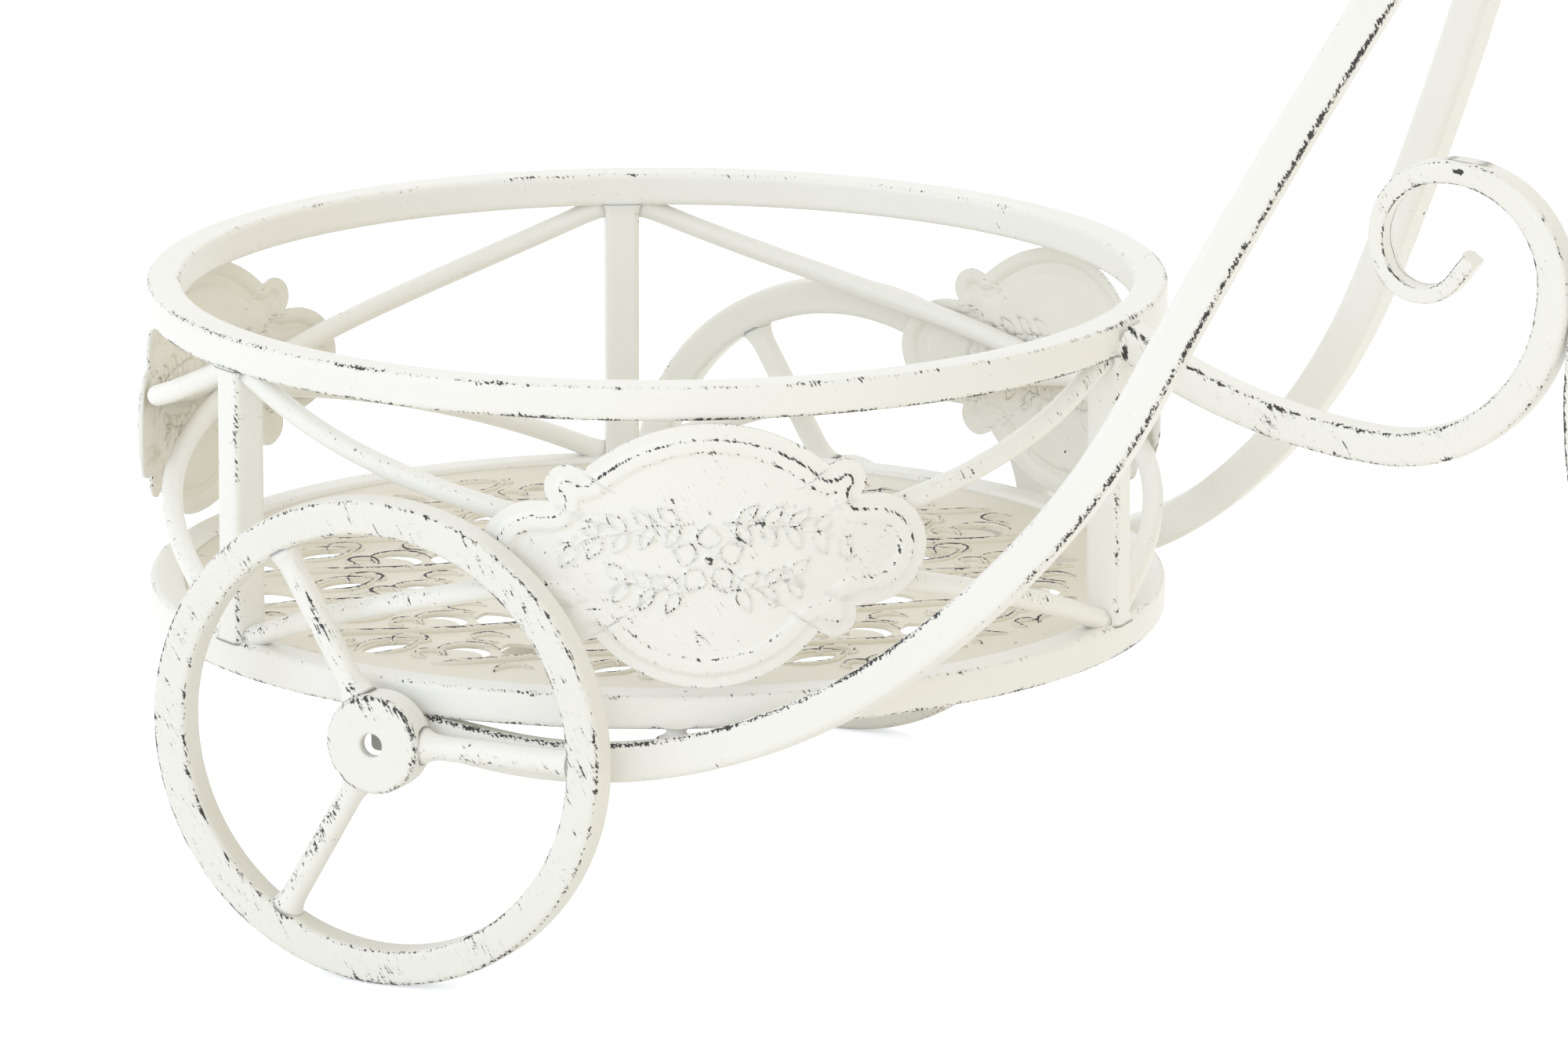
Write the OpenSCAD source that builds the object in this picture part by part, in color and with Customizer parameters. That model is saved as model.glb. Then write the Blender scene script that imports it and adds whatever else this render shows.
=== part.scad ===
// A planter shaped like a tricycle: a welded frame of square bar that carries a round basket
// between two small rear wheels, with one large wheel, a fork, a handlebar and a saddle in front.
// Millimetres. +X forward, +Y left, +Z up. The origin is on the ground, mid length and mid width.

/* [Bar stock] */
// Side of the square bar that the frame is bent from
bar = 10; // [8:0.5:11]
// Chamfer along the long edges of the square bar
bar_edge = 1.5; // [0.6:0.1:2]
// Diameter of the round rods that brace the basket
rod_d = 6; // [4:0.5:7]

/* [Basket] */
// Outer diameter of the basket's two rings
basket_d = 290; // [260:5:320]
// Height of the basket over both rings
basket_h = 96.5; // [88:0.5:112]
// Thickness of the floor plate
floor_t = 1; // [0.8:0.1:3]
// Depth of the floor plate's face below the top of the lower ring
floor_drop = 1.5; // [0:0.5:4]
// Width of the plain rim round the floor plate's piercings
floor_rim_w = 11; // [8:1:20]
// Share of a brace rod's own radius by which its end sinks past the ring's face
brace_sink = 0.65; // [0:0.05:0.8]

/* [Plaques] */
// Width of a plaque between the tips of its side lobes
plaque_w = 123; // [110:1:130]
// Height of a plaque between the tops of its two arches
plaque_h = 74; // [66:1:78]
// Radius of a plaque's side lobes
side_lobe_r = 15.5; // [12:0.5:17]
// Thickness of the plaque's sheet
plaque_t = 1.2; // [0.8:0.2:2]
// Height of the raised border above the sheet
border_h = 1; // [0.6:0.2:2]
// Width of the raised border
border_w = 4.8; // [2:0.2:5]
// Distance of the raised border from the plaque's edge
border_inset = 3.6; // [1:0.2:4]

/* [Rear wheels] */
// Outer diameter of a rear wheel
rear_wheel_d = 137; // [120:1:160]
// Distance of the axle behind the basket's middle
axle_back = 11; // [0:1:20]
// Diameter of a rear hub
hub_d = 28; // [22:1:36]
// Thickness of a rear hub
hub_t = 10.5; // [8:0.5:14]
// Height of the hub's outer face above the rim's
hub_proud = 1.5; // [0:0.5:4]
// Gap between an arm and the rim that it passes
wheel_gap = 1.5; // [1:0.5:5]
// Height of the axle bar's middle above the hubs' middle
axle_rise = 0.9; // [0:0.1:2]
// Diameter of the hole through a rear hub
hub_bore_d = 6.5; // [4:0.5:8]
// Diameter of a wheel spoke
spoke_d = 7; // [5:0.5:8]

/* [Arms] */
// Side of the arms' square bar
arm_bar = 11; // [10:0.5:12]
// Distance that the inner face of an arm lies inside the basket's rim at the axle
arm_under = 9; // [5:1:12]
// Downward slope of the arms' first straight run, in degrees
arm_dip = 8; // [6:0.5:9]
// Radius of the bend that turns an arm upwards
arm_bend_r = 144; // [128:2:160]
// Radius of the longer bend that follows
arm_sweep_r = 202; // [180:2:230]
// Length of the straight run above the bends
arm_rise = 118; // [90:2:140]
// Diameter of the pin between an arm and the lower ring
strut_d = 5; // [4:0.5:6]
// Gap between the top of an arm and the lower ring where the pin stands
strut_gap = 1.8; // [1.4:0.1:3]

/* [Scroll] */
// Downward slope of the scroll where it leaves the upper ring, in degrees
scroll_dip = 30.4; // [24:0.2:34]
// Radius of the scroll's long neck
neck_r = 169; // [150:1:200]
// Radius of the curl's first bend
curl_r = 48.2; // [44:0.2:56]
// Share of its radius that each bend of the curl keeps
curl_ratio = 0.633; // [0.6:0.001:0.66]
// Thickness of the scroll's flattened tip
tip_t = 4.8; // [3.5:0.2:6]

/* [Front wheel and fork] */
// Outer diameter of the front wheel
front_wheel_d = 325; // [300:5:360]
// Number of spokes in the front wheel
front_spokes = 6; // [4:1:8]
// Diameter of the front hub
front_hub_d = 36; // [30:1:44]
// Thickness of the front hub
front_hub_t = 16; // [14:1:24]
// Backward lean of the fork, in degrees
rake = 18; // [12:1:22]
// Gap between the wheel and the fork's crown
crown_gap = 12; // [8:1:20]
// Diameter of the stem above the crown
stem_d = 20; // [16:1:24]
// Length of the stem
stem_l = 126; // [110:2:150]

/* [Handlebar] */
// Diameter of the handlebar
handlebar_d = 12; // [10:0.5:14]
// Length of each straight half at the stem
handlebar_half = 34; // [26:1:44]
// Radius of the handlebar's backward bends
handlebar_bend_r = 42; // [36:1:50]
// Length of each straight grip
grip_l = 52; // [40:2:64]
// Radius of the curled ends
handle_curl_r = 13; // [12:1:16]

/* [Saddle] */
// Length of the saddle
saddle_l = 92; // [80:2:104]
// Width of the saddle at its tail
saddle_w = 62; // [50:2:72]
// Width of the saddle's nose
nose_w = 20; // [16:1:26]
// Thickness of the saddle's pressed sheet
saddle_t = 2.5; // [2:0.5:4]
// Length of the saddle's post
saddle_post_l = 62; // [50:2:74]
// Diameter of the saddle's post
saddle_post_d = 10; // [8:0.5:12]

/* [Hidden] */

$fn = 96;
paint = "#f1efe6";
weld_gap = 0.2;       // left between curved pieces that are welded together
rod_sides = 12;       // sides of a swept round rod
RIGHT = -1;
LEFT = 1;

// Basket
basket_r = basket_d / 2;
ring_mid_r = basket_r - bar / 2;
rear_r = rear_wheel_d / 2;
axle_z = rear_r + axle_rise;
lift = axle_z + bar / 2;                   // the lower ring rests on the axle bar
lower_top = lift + bar;
upper_top = lift + basket_h;
upper_under = upper_top - bar;
basket_mid = (lower_top + upper_under) / 2;
bay = 120;                                 // degrees between two posts
brace_rise = (upper_under - lower_top) / 2 + brace_sink * rod_d / 2;
brace_steps = 28;
brace_offset = (rod_d + weld_gap) / 2;     // the two rods of a bay pass each other by this much
floor_r = basket_r - bar - weld_gap;

// Plaques
plaque_r = ring_mid_r + brace_offset + rod_d / 2 + weld_gap;
plaque_face_r = plaque_r + plaque_t;
plaque_outer_r = plaque_face_r + border_h;
right_plaque = [1, 1.3];                   // degrees off the bay's middle, and rise above the basket's
left_plaque = [1.4, -1.3];
rear_plaque = [0.6, 0.3];
top_arch = [50, 36];                       // radius and half width
bottom_arch = [40, 34];
top_lobe = [38, 19.1, 6.2];                // place beside and above the plaque's middle, and radius
bottom_lobe = [35.5, -18.5, 6];
side_lobe_rise = -0.6;

// Rear wheels
arm_outer = basket_r - arm_under + bar;
wheel_mid = arm_outer + wheel_gap + bar / 2;
hub_mid = wheel_mid + bar / 2 + hub_proud - hub_t / 2;
hub_back = hub_mid - hub_t / 2;            // the axle bar ends on the hubs' back faces
rear_spoke_count = 3;

// Arms: the first run is as long as it takes for the bend to pass under the pin at its gap
strut_azimuth = 62.3;
strut_inset = 1;                           // the pin's axis lies this far inside the ring's outer face
strut_r = basket_r - strut_inset;
strut_ahead = strut_r * cos(strut_azimuth) - bar / 2 + axle_back;
strut_drop = strut_gap + bar / 2 * (1 / cos(strut_bend(strut_gap) - arm_dip) - 1);
arm_run = strut_ahead * cos(arm_dip) + strut_drop * sin(arm_dip) - arm_bend_r * sin(strut_bend(strut_drop));

// Each piece is [length, upward turn, inward slope at its start, inward slope at its end]
arm_bend_turn = 45.5;
arm_sweep_turn = 27.5;
arm_pieces = [
    [arm_run, 0, 0, 0.11],
    [arc_length(arm_bend_r, arm_bend_turn), arm_bend_turn, 0.11, 0.37],
    [arc_length(arm_sweep_r, arm_sweep_turn), arm_sweep_turn, 0.37, 0.21],
    [arm_rise, 0, 0.21, 0.49]];
arm_step = 7;
arm_start = [bar / 2 - axle_back, arm_outer - bar / 2, axle_z];
arm_lean = 0.2;                            // lean of the arms' outer faces, upwards and forwards
head_height = 46;                          // the arms pass the stem this far above the crown's middle
head_overhang = 12;                        // the arms run this far past the stem's axis
head_slope = 15;
head_steps = 16;
head_pull = 0.38;
cross_bar_at = 0.34;                       // share of the arms' last curve at which the cross bar sits

// Scroll
curl_turn = 95.2;                          // turn of the curl's first bend
curl_turn_ratio = 1.06;                    // each bend of the curl turns this much further
curl_bends = 4;
neck_turn = 27.7;
scroll_tip_l = 8;
scroll_step = 5;
taper_from = 155;                          // length of full bar before the scroll thins
taper_to = 240;
tip_depth = 8.5;
scroll_pieces = concat(
    [[arc_length(neck_r, neck_turn), neck_turn, 0, 0]],
    [for (k = [0:curl_bends - 1])
        let (turn = curl_turn * pow(curl_turn_ratio, k))
        [arc_length(curl_r * pow(curl_ratio, k), turn), turn, 0, 0]],
    [[scroll_tip_l, 0, 0, 0]]);
scroll_path = walk([basket_r + weld_gap, 0, upper_top - bar / 2, -scroll_dip, 0],
    path_steps(scroll_pieces, scroll_step));

// Front wheel and fork: the wheel stands where its rim just meets the scroll
front_r = front_wheel_d / 2;
front_x = max([for (i = [0:len(scroll_path) - 1])
    let (h = scroll_path[i][3], half = scroll_thickness(i) / 2,
        edge = [scroll_path[i][0] + half * sin(h), scroll_path[i][2] - half * cos(h)])
    edge[0] + sqrt(pow(front_r + weld_gap, 2) - pow(edge[1] - front_r, 2))]);
leg_y = front_hub_t / 2 + bar / 2;
leg_foot = 14;                             // the fork's legs run this far below the hub's middle
crown_at = front_r + crown_gap + bar / 2;
stem_from = crown_at + bar / 2;
stem_to = stem_from + stem_l;
head_at = crown_at + head_height;
handlebar_at = stem_to + weld_gap + handlebar_d / 2;
handlebar_lift = 10;                       // degrees that the grips rise towards the rear
handlebar_pieces = [
    [handlebar_half, 0, 0, 0],
    [arc_length(handlebar_bend_r, 62), 62, 0, 0],
    [grip_l, 0, 0, 0],
    [arc_length(handle_curl_r, 235), -235, 0, 0]];
handlebar_step = 6;

// Saddle
saddle_seat = 0.36;                        // share of the saddle's length from its tail to its post
saddle_droop = 9;
saddle_kick = 7;
saddle_cells = [14, 8];

// The whole part is moved along X so that the origin is at the middle of its length
x_rear = min(-plaque_outer_r, -axle_back - rear_r);
origin_x = -(x_rear + front_x + front_r) / 2;

// Length of an arc of radius r that turns through a degrees
function arc_length(r, a) = r * a * PI / 180;
function mix(a, b, f) = a + (b - a) * f;
function unit(v) = v / norm(v);

// Bar profile: a chamfered rectangle, counter-clockwise
function bar_profile(w, h, c) = [
    [w / 2, c - h / 2], [w / 2, h / 2 - c], [w / 2 - c, h / 2], [c - w / 2, h / 2],
    [-w / 2, h / 2 - c], [-w / 2, c - h / 2], [c - w / 2, -h / 2], [w / 2 - c, -h / 2]];
function round_profile(d, sides) = [for (j = [0:sides - 1])
    d / 2 * [cos(360 * j / sides), sin(360 * j / sides)]];

// Turn that the arm's bend has made where it passes under the pin, at a drop below the axle's middle
function strut_bend(drop) = acos(1 - (strut_ahead * sin(arm_dip) - drop * cos(arm_dip)) / arm_bend_r);

// Short steps along pieces: each is [length, turn, inward slope on the way, inward slope at its end]
function path_steps(pieces, ds) = [for (p = pieces)
    let (n = ceil(p[0] / ds))
    for (i = [1:n])
        [p[0] / n, p[1] / n, mix(p[2], p[3], (i - 0.5) / n), mix(p[2], p[3], i / n)]];

// Follows the steps: each station is [x, y, z, heading in the XZ plane, inward slope]
function walk(start, s) = [for (i = 0, p = start; i <= len(s);
    p = i < len(s) ? let (h = p[3] + s[i][1] / 2)
        [p[0] + s[i][0] * cos(h), p[1] - s[i][0] * s[i][2], p[2] + s[i][0] * sin(h),
            p[3] + s[i][1], s[i][3]] : p,
    i = i + 1) p];
function station_at(p) = [p[0], p[1], p[2]];
function station_way(p) = unit([cos(p[3]), -p[4], sin(p[3])]);

// A section of the given profile set square to the way t at point c, with its first axis near a direction
function side_axis(t, near) = unit(near - (near * t) * t);
function section(c, t, profile, near = [0, 1, 0]) =
    let (side = side_axis(t, near), up = cross(t, side))
    [for (q = profile) c + q[0] * side + q[1] * up];

// Point and way on a cubic curve
function cubic(p, t) = pow(1 - t, 3) * p[0] + 3 * pow(1 - t, 2) * t * p[1]
    + 3 * (1 - t) * t * t * p[2] + pow(t, 3) * p[3];
function cubic_way(p, t) = unit(pow(1 - t, 2) * (p[1] - p[0]) + 2 * (1 - t) * t * (p[2] - p[1])
    + t * t * (p[3] - p[2]));

// Thickness of the scroll at station i, in its plane, and its depth across the plane
function scroll_run(i) = i == 0 ? 0 : scroll_run(i - 1)
    + norm(station_at(scroll_path[i]) - station_at(scroll_path[i - 1]));
function scroll_taper(i) = min(1, max(0, (scroll_run(i) - taper_from) / (taper_to - taper_from)));
function scroll_thickness(i) = mix(bar, tip_t, scroll_taper(i));
function scroll_depth(i) = mix(bar, tip_depth, scroll_taper(i));

// Point of the fork's own frame, at a height along the fork and a distance forward of it
function fork_point(up, forward) = [front_x - up * sin(rake) + forward * cos(rake), 0,
    front_r + up * cos(rake) + forward * sin(rake)];

// The left arm: its stations as far as the photographed run goes, then one curve to the stem
arm_path = walk(concat(arm_start, [-arm_dip, arm_pieces[0][2]]), path_steps(arm_pieces, arm_step));
arm_last = arm_path[len(arm_path) - 1];
head_end = fork_point(head_at, head_overhang) + [0, stem_d / 2 + weld_gap + arm_bar / 2, 0];
head_reach = head_pull * norm(head_end - station_at(arm_last));
head_curve = [
    station_at(arm_last),
    station_at(arm_last) + head_reach * station_way(arm_last),
    head_end - head_reach * [cos(head_slope), 0, sin(head_slope)],
    head_end];
cross_bar_mid = cubic(head_curve, cross_bar_at);
cross_bar_way = cubic_way(head_curve, cross_bar_at);

// Direction that the arm's outer face leans to, until it comes upright at the stem (share 1 of the last curve)
function arm_near(share) = [arm_lean * (1 - share), 1, arm_lean * (1 - share)];

// Half width of the saddle and height of its face, for a share u of its length and v of its half width
function smooth(x) = let (c = min(1, max(0, x))) c * c * (3 - 2 * c);
function saddle_half(u) = mix(saddle_w, nose_w, smooth((u - 0.18) / 0.5)) / 2
    * pow(1 - pow(abs(2 * u - 1), 5), 0.5);
function saddle_face(u, v) = saddle_kick * (smooth((0.45 - u) / 0.45) + 0.3 * smooth((u - 0.7) / 0.3))
    - saddle_droop * v * v;

// Closed skin through a list of equal rings, with flat ends
module sweep(rings) {
    m = len(rings[0]);
    last = (len(rings) - 1) * m;
    polyhedron(
        points = [for (r = rings) each r],
        faces = concat(
            [[for (j = [0:m - 1]) j]],
            [[for (j = [m - 1:-1:0]) last + j]],
            [for (i = [0:len(rings) - 2], j = [0:m - 1])
                [i * m + j, (i + 1) * m + j, (i + 1) * m + (j + 1) % m]],
            [for (i = [0:len(rings) - 2], j = [0:m - 1])
                [i * m + j, (i + 1) * m + (j + 1) % m, i * m + (j + 1) % m]]),
        convexity = 6);
}

// Places a piece that is drawn about the basket's axis, and paints it
module placed() {
    color(paint) translate([origin_x, 0, 0]) children();
}

// Square bar bent to a hoop about the Z axis, its middle at z = 0
module hoop(outer_d) {
    rotate_extrude() translate([outer_d / 2 - bar / 2, 0]) polygon(bar_profile(bar, bar, bar_edge));
}

// Turns a piece about the Z axis into one about the Y axis, at a wheel's middle
module on_axle(x, y, z) {
    translate([x, y, z]) rotate([90, 0, 0]) children();
}

module basket_ring(top) {
    placed() translate([0, 0, top - bar / 2]) hoop(basket_d);
}

module post(azimuth) {
    placed() rotate([0, 0, azimuth]) translate([ring_mid_r, 0, lower_top])
        linear_extrude(upper_under - lower_top) polygon(bar_profile(bar, bar, bar_edge));
}

// Floor plate: a grid of cells, each with a leaf, a crescent and a curved triangle cut through
cell = [57, 36];
cell_turn = 37;
pattern_r = floor_r - floor_rim_w;
leaf = [17, 8];
crescent_r = 8;
triangle_r = 11;

module leaf_hole() {
    r = (pow(leaf[0] / 2, 2) + pow(leaf[1] / 2, 2)) / leaf[1];
    intersection() {
        translate([0, r - leaf[1] / 2]) circle(r);
        translate([0, leaf[1] / 2 - r]) circle(r);
    }
}

module crescent_hole() {
    difference() {
        circle(crescent_r);
        translate([0, -crescent_r * 0.75]) circle(crescent_r * 1.02);
    }
}

module triangle_hole() {
    intersection_for(a = [90, 210, 330])
        translate(triangle_r * 0.5 * [cos(a), sin(a)]) circle(triangle_r);
}

// Calls for one hole at a cell corner plus an offset, if it lies inside the plain rim
module if_inside(i, j, offset, margin) {
    p = [i * cell[0] + offset[0], j * cell[1] + offset[1]];
    if (norm(p) + margin < pattern_r) translate(p) children();
}

module floor_pattern() {
    reach = ceil(basket_r / cell[1]) + 1;
    rotate(cell_turn) for (i = [-reach:reach], j = [-reach:reach]) {
        if_inside(i, j, [23, 3], leaf[0] / 2) rotate(28) leaf_hole();
        if_inside(i, j, [43, -7], crescent_r) rotate(-35) crescent_hole();
        if_inside(i, j, [2, -7], triangle_r * 0.6) rotate(12) triangle_hole();
    }
}

module basket_floor() {
    placed() translate([0, 0, lower_top - floor_drop - floor_t]) linear_extrude(floor_t) difference() {
        circle(floor_r);
        floor_pattern();
    }
}

// Brace rod: an S along a bay, from one post's foot to the next post's head. It bows by its own
// half thickness past the rod that crosses it, and is flattened where it meets a ring.
function brace_z(t) = brace_rise * t * (0.65 + 0.35 * t * t);
function brace_slope(t) = atan(brace_rise * (0.65 + 1.05 * t * t) / arc_length(ring_mid_r, bay / 2));

module brace(azimuth, rise, side) {
    t_end = 1 - asin((bar / 2 + weld_gap) / (ring_mid_r - rod_d / 2)) / (bay / 2);
    placed() sweep([for (k = [-brace_steps:2:brace_steps])
        let (t = t_end * k / brace_steps,
            a = azimuth + t * bay / 2,
            r = ring_mid_r + side * brace_offset * pow(1 - t * t, 2),
            mid = basket_mid + rise * brace_z(t),
            half = rod_d / 2 / cos(brace_slope(t)),
            low = max(lower_top, mid - half),
            high = min(upper_under, mid + half))
        [for (q = round_profile(2, rod_sides))
            concat((r + q[1] * rod_d / 2) * [cos(a), sin(a)], mix(low, high, (q[0] + 1) / 2))]]);
}

// Plaque outline: two shallow arches, large side lobes and small lobes in the corners between
module arch(top, size) {
    intersection() {
        translate([0, top - size[0]]) circle(size[0]);
        translate([-size[1], 0]) square([2 * size[1], top]);
    }
}

module lobe(place) {
    for (side = [-1, 1]) translate([side * place[0], place[1]]) circle(place[2]);
}

module cartouche() {
    side_x = plaque_w / 2 - side_lobe_r;
    arch(plaque_h / 2, top_arch);
    mirror([0, 1]) arch(plaque_h / 2, bottom_arch);
    translate([-side_x, side_lobe_rise - side_lobe_r]) square([2 * side_x, 2 * side_lobe_r]);
    lobe([side_x, side_lobe_rise, side_lobe_r]);
    lobe(top_lobe);
    lobe(bottom_lobe);
}

// A sheet of the given outline rolled to a cylinder between two radii, facing +X
module rolled(inner, outer) {
    intersection() {
        rotate_extrude() translate([inner, -basket_h / 2]) square([outer - inner, basket_h]);
        translate([inner / 2, 0, 0]) rotate([90, 0, 90]) linear_extrude(outer) children();
    }
}

module plaque(azimuth, place) {
    placed() translate([0, 0, basket_mid + place[1]]) rotate([0, 0, azimuth + place[0]]) {
        rolled(plaque_r, plaque_face_r) cartouche();
        rolled(plaque_face_r, plaque_outer_r) difference() {
            offset(r = -border_inset) cartouche();
            offset(r = -border_inset - border_w) cartouche();
        }
    }
}

module axle_bar() {
    placed() on_axle(-axle_back, hub_back, axle_z)
        linear_extrude(2 * hub_back) polygon(bar_profile(bar, bar, bar_edge));
}

module arm(side) {
    profile = bar_profile(arm_bar, arm_bar, bar_edge);
    placed() mirror([0, side == LEFT ? 0 : 1, 0]) sweep(concat(
        [section(arm_start, [1, 0, 0], profile, arm_near(0))],
        [for (i = [1:len(arm_path) - 1])
            section(station_at(arm_path[i]), station_way(arm_path[i]), profile, arm_near(0))],
        [for (k = [1:head_steps]) let (t = k / head_steps)
            section(cubic(head_curve, t), cubic_way(head_curve, t), profile, arm_near(t))]));
}

// Pin between the top of an arm and the underside of the lower ring
module strut(side) {
    x = strut_r * cos(strut_azimuth);
    i = [for (k = [0:len(arm_path) - 2]) if (arm_path[k][0] <= x && arm_path[k + 1][0] > x) k][0];
    p = mix(arm_path[i], arm_path[i + 1], (x - arm_path[i][0]) / (arm_path[i + 1][0] - arm_path[i][0]));
    inboard = max(0, p[1] - strut_r * sin(strut_azimuth) - strut_d / 2);
    foot = p[2] + (arm_bar / 2 * norm([1, arm_lean]) - arm_lean * inboard) / cos(p[3])
        + strut_d / 2 * tan(abs(p[3])) + weld_gap;
    placed() translate([x, side * strut_r * sin(strut_azimuth), foot]) cylinder(h = lift - foot, d = strut_d);
}

module rear_rim(side) {
    placed() on_axle(-axle_back, side * wheel_mid, rear_r) hoop(rear_wheel_d);
}

// Hub: a disc with softened edges, about the Z axis
module hub_disc(d, t, bore) {
    edge = 1.2;
    rotate_extrude() polygon([[bore / 2, -t / 2], [d / 2 - edge, -t / 2], [d / 2, edge - t / 2],
        [d / 2, t / 2 - edge], [d / 2 - edge, t / 2], [bore / 2, t / 2]]);
}

module rear_hub(side) {
    placed() on_axle(-axle_back, side * hub_mid, rear_r) hub_disc(hub_d, hub_t, hub_bore_d);
}

// Spokes from a hub to the inside of a rim, about the Z axis
module spokes(count, inner_d, outer_d) {
    reach = sqrt(pow(outer_d / 2 - bar - weld_gap, 2) - pow(spoke_d / 2, 2));
    for (k = [0:count - 1]) rotate([0, 0, 360 * k / count]) translate([inner_d / 2 + weld_gap, 0, 0])
        rotate([0, 90, 0]) cylinder(h = reach - inner_d / 2 - weld_gap, d = spoke_d);
}

module rear_spokes(side) {
    placed() on_axle(-axle_back, side * wheel_mid, rear_r) spokes(rear_spoke_count, hub_d, rear_wheel_d);
}

module scroll() {
    placed() sweep([for (i = [0:len(scroll_path) - 1])
        section(station_at(scroll_path[i]), i == 0 ? [1, 0, 0] : station_way(scroll_path[i]),
            bar_profile(scroll_depth(i), i == 0 ? bar / cos(scroll_dip) : scroll_thickness(i), bar_edge))]);
}

module front_rim() {
    placed() on_axle(front_x, 0, front_r) hoop(front_wheel_d);
}

module front_hub() {
    placed() on_axle(front_x, 0, front_r) hub_disc(front_hub_d, front_hub_t, 0);
}

module front_spoke_set() {
    placed() on_axle(front_x, 0, front_r) rotate([0, 0, 180 / front_spokes])
        spokes(front_spokes, front_hub_d, front_wheel_d);
}

// The fork's own frame: origin at the front hub, +Z up the fork
module on_fork() {
    placed() translate([front_x, 0, front_r]) rotate([0, -rake, 0]) children();
}

module fork_leg(side) {
    foot = bar / 2;
    on_fork() translate([0, side * leg_y + bar / 2, 0]) rotate([90, 0, 0]) linear_extrude(bar)
        polygon([[-bar / 2, crown_at - bar / 2], [-bar / 2, foot - leg_foot], [foot - bar, -leg_foot],
            [bar - foot, -leg_foot], [bar / 2, foot - leg_foot], [bar / 2, crown_at - bar / 2]]);
}

module fork_crown() {
    on_fork() translate([0, leg_y + bar / 2, crown_at]) rotate([90, 0, 0])
        linear_extrude(2 * leg_y + bar) polygon(bar_profile(bar, bar, bar_edge));
}

module stem() {
    on_fork() translate([0, 0, stem_from]) cylinder(h = stem_l, d = stem_d);
}

// Handlebar: drawn as one half in a plane, mirrored to the other, and leaned up towards the rear
module handlebar() {
    half = walk([0, 0, 0, 0, 0], path_steps(handlebar_pieces, handlebar_step));
    profile = round_profile(handlebar_d, rod_sides);
    count = len(half) - 1;
    on_fork() translate([0, 0, handlebar_at]) rotate([0, rake + handlebar_lift, 0]) rotate([90, 0, -90])
        sweep([for (i = [-count:count])
            let (p = half[abs(i)], way = [cos(p[3]), 0, sin(p[3])],
                c = [i < 0 ? -p[0] : p[0], 0, p[2]], t = i < 0 ? [way[0], 0, -way[2]] : way)
            section([c[0], 0, c[2]], t, profile)]);
}

// Cross bar between the arms, its ends cut to their inner faces
module cross_bar() {
    side = side_axis(cross_bar_way, arm_near(cross_bar_at));
    placed() polyhedron(
        points = [for (z = [-1, 1], x = [-1, 1], y = [-1, 1])
            let (dx = x * bar / 2, dz = z * bar / 2,
                half = cross_bar_mid[1] - (arm_bar / 2 + weld_gap + side[0] * dx + side[2] * dz) / side[1])
            [cross_bar_mid[0] + dx, y * half, cross_bar_mid[2] + dz]],
        faces = [[0, 2, 3, 1], [4, 5, 7, 6], [0, 4, 6, 2], [1, 3, 7, 5], [0, 1, 5, 4], [2, 6, 7, 3]]);
}

module saddle_post() {
    placed() translate([cross_bar_mid[0], 0, cross_bar_mid[2] + bar / 2])
        cylinder(h = saddle_post_l, d = saddle_post_d);
}

// Saddle: pressed sheet, wide and kicked up at the tail, with drooping sides
module saddle() {
    nu = saddle_cells[0];
    nv = saddle_cells[1];
    row = nv + 1;
    layer = (nu + 1) * row;
    post_r = saddle_post_d / 2;
    seat_v = post_r / saddle_half(saddle_seat);
    z0 = cross_bar_mid[2] + bar / 2 + saddle_post_l + weld_gap + saddle_t - saddle_face(saddle_seat, seat_v);
    grid = [for (i = [0:nu], j = [0:nv])
        let (u = mix(0.01, 0.99, i / nu), v = 2 * j / nv - 1)
        [cross_bar_mid[0] + (u - saddle_seat) * saddle_l, v * saddle_half(u), z0 + saddle_face(u, v)]];
    placed() polyhedron(
        points = concat(grid, [for (p = grid) p - [0, 0, saddle_t]]),
        faces = concat(
            [for (i = [0:nu - 1], j = [0:nv - 1], half = [0, 1])
                let (a = i * row + j, b = a + 1, c = a + row + 1, d = a + row)
                half == 0 ? [a, b, c] : [a, c, d]],
            [for (i = [0:nu - 1], j = [0:nv - 1], half = [0, 1])
                let (a = layer + i * row + j, b = a + 1, c = a + row + 1, d = a + row)
                half == 0 ? [c, b, a] : [d, c, a]],
            [for (i = [0:nu - 1]) let (a = i * row, b = a + row) [layer + a, a, b, layer + b]],
            [for (i = [0:nu - 1]) let (a = i * row + nv, b = a + row) [layer + b, b, a, layer + a]],
            [for (j = [0:nv - 1]) [layer + j + 1, j + 1, j, layer + j]],
            [for (j = [0:nv - 1]) let (a = nu * row + j) [layer + a, a, a + 1, layer + a + 1]]));
}

basket_ring(upper_top);  // basket_top_ring
basket_ring(lower_top);  // basket_bottom_ring
basket_floor();
post(0);  // post_front
post(bay);  // post_left
post(-bay);  // post_right
brace(-bay / 2, 1, 1);  // brace_right_rising
brace(-bay / 2, -1, -1);  // brace_right_falling
brace(bay / 2, 1, 1);  // brace_left_rising
brace(bay / 2, -1, -1);  // brace_left_falling
brace(180, 1, 1);  // brace_rear_rising
brace(180, -1, -1);  // brace_rear_falling
plaque(-bay / 2, right_plaque);  // plaque_right
plaque(bay / 2, left_plaque);  // plaque_left
plaque(180, rear_plaque);  // plaque_rear
axle_bar();
arm(RIGHT);  // arm_right
arm(LEFT);  // arm_left
strut(RIGHT);  // strut_right
strut(LEFT);  // strut_left
rear_rim(RIGHT);  // rear_rim_right
rear_hub(RIGHT);  // rear_hub_right
rear_spokes(RIGHT);  // rear_spokes_right
rear_rim(LEFT);  // rear_rim_left
rear_hub(LEFT);  // rear_hub_left
rear_spokes(LEFT);  // rear_spokes_left
scroll();
front_rim();
front_hub();
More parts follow.
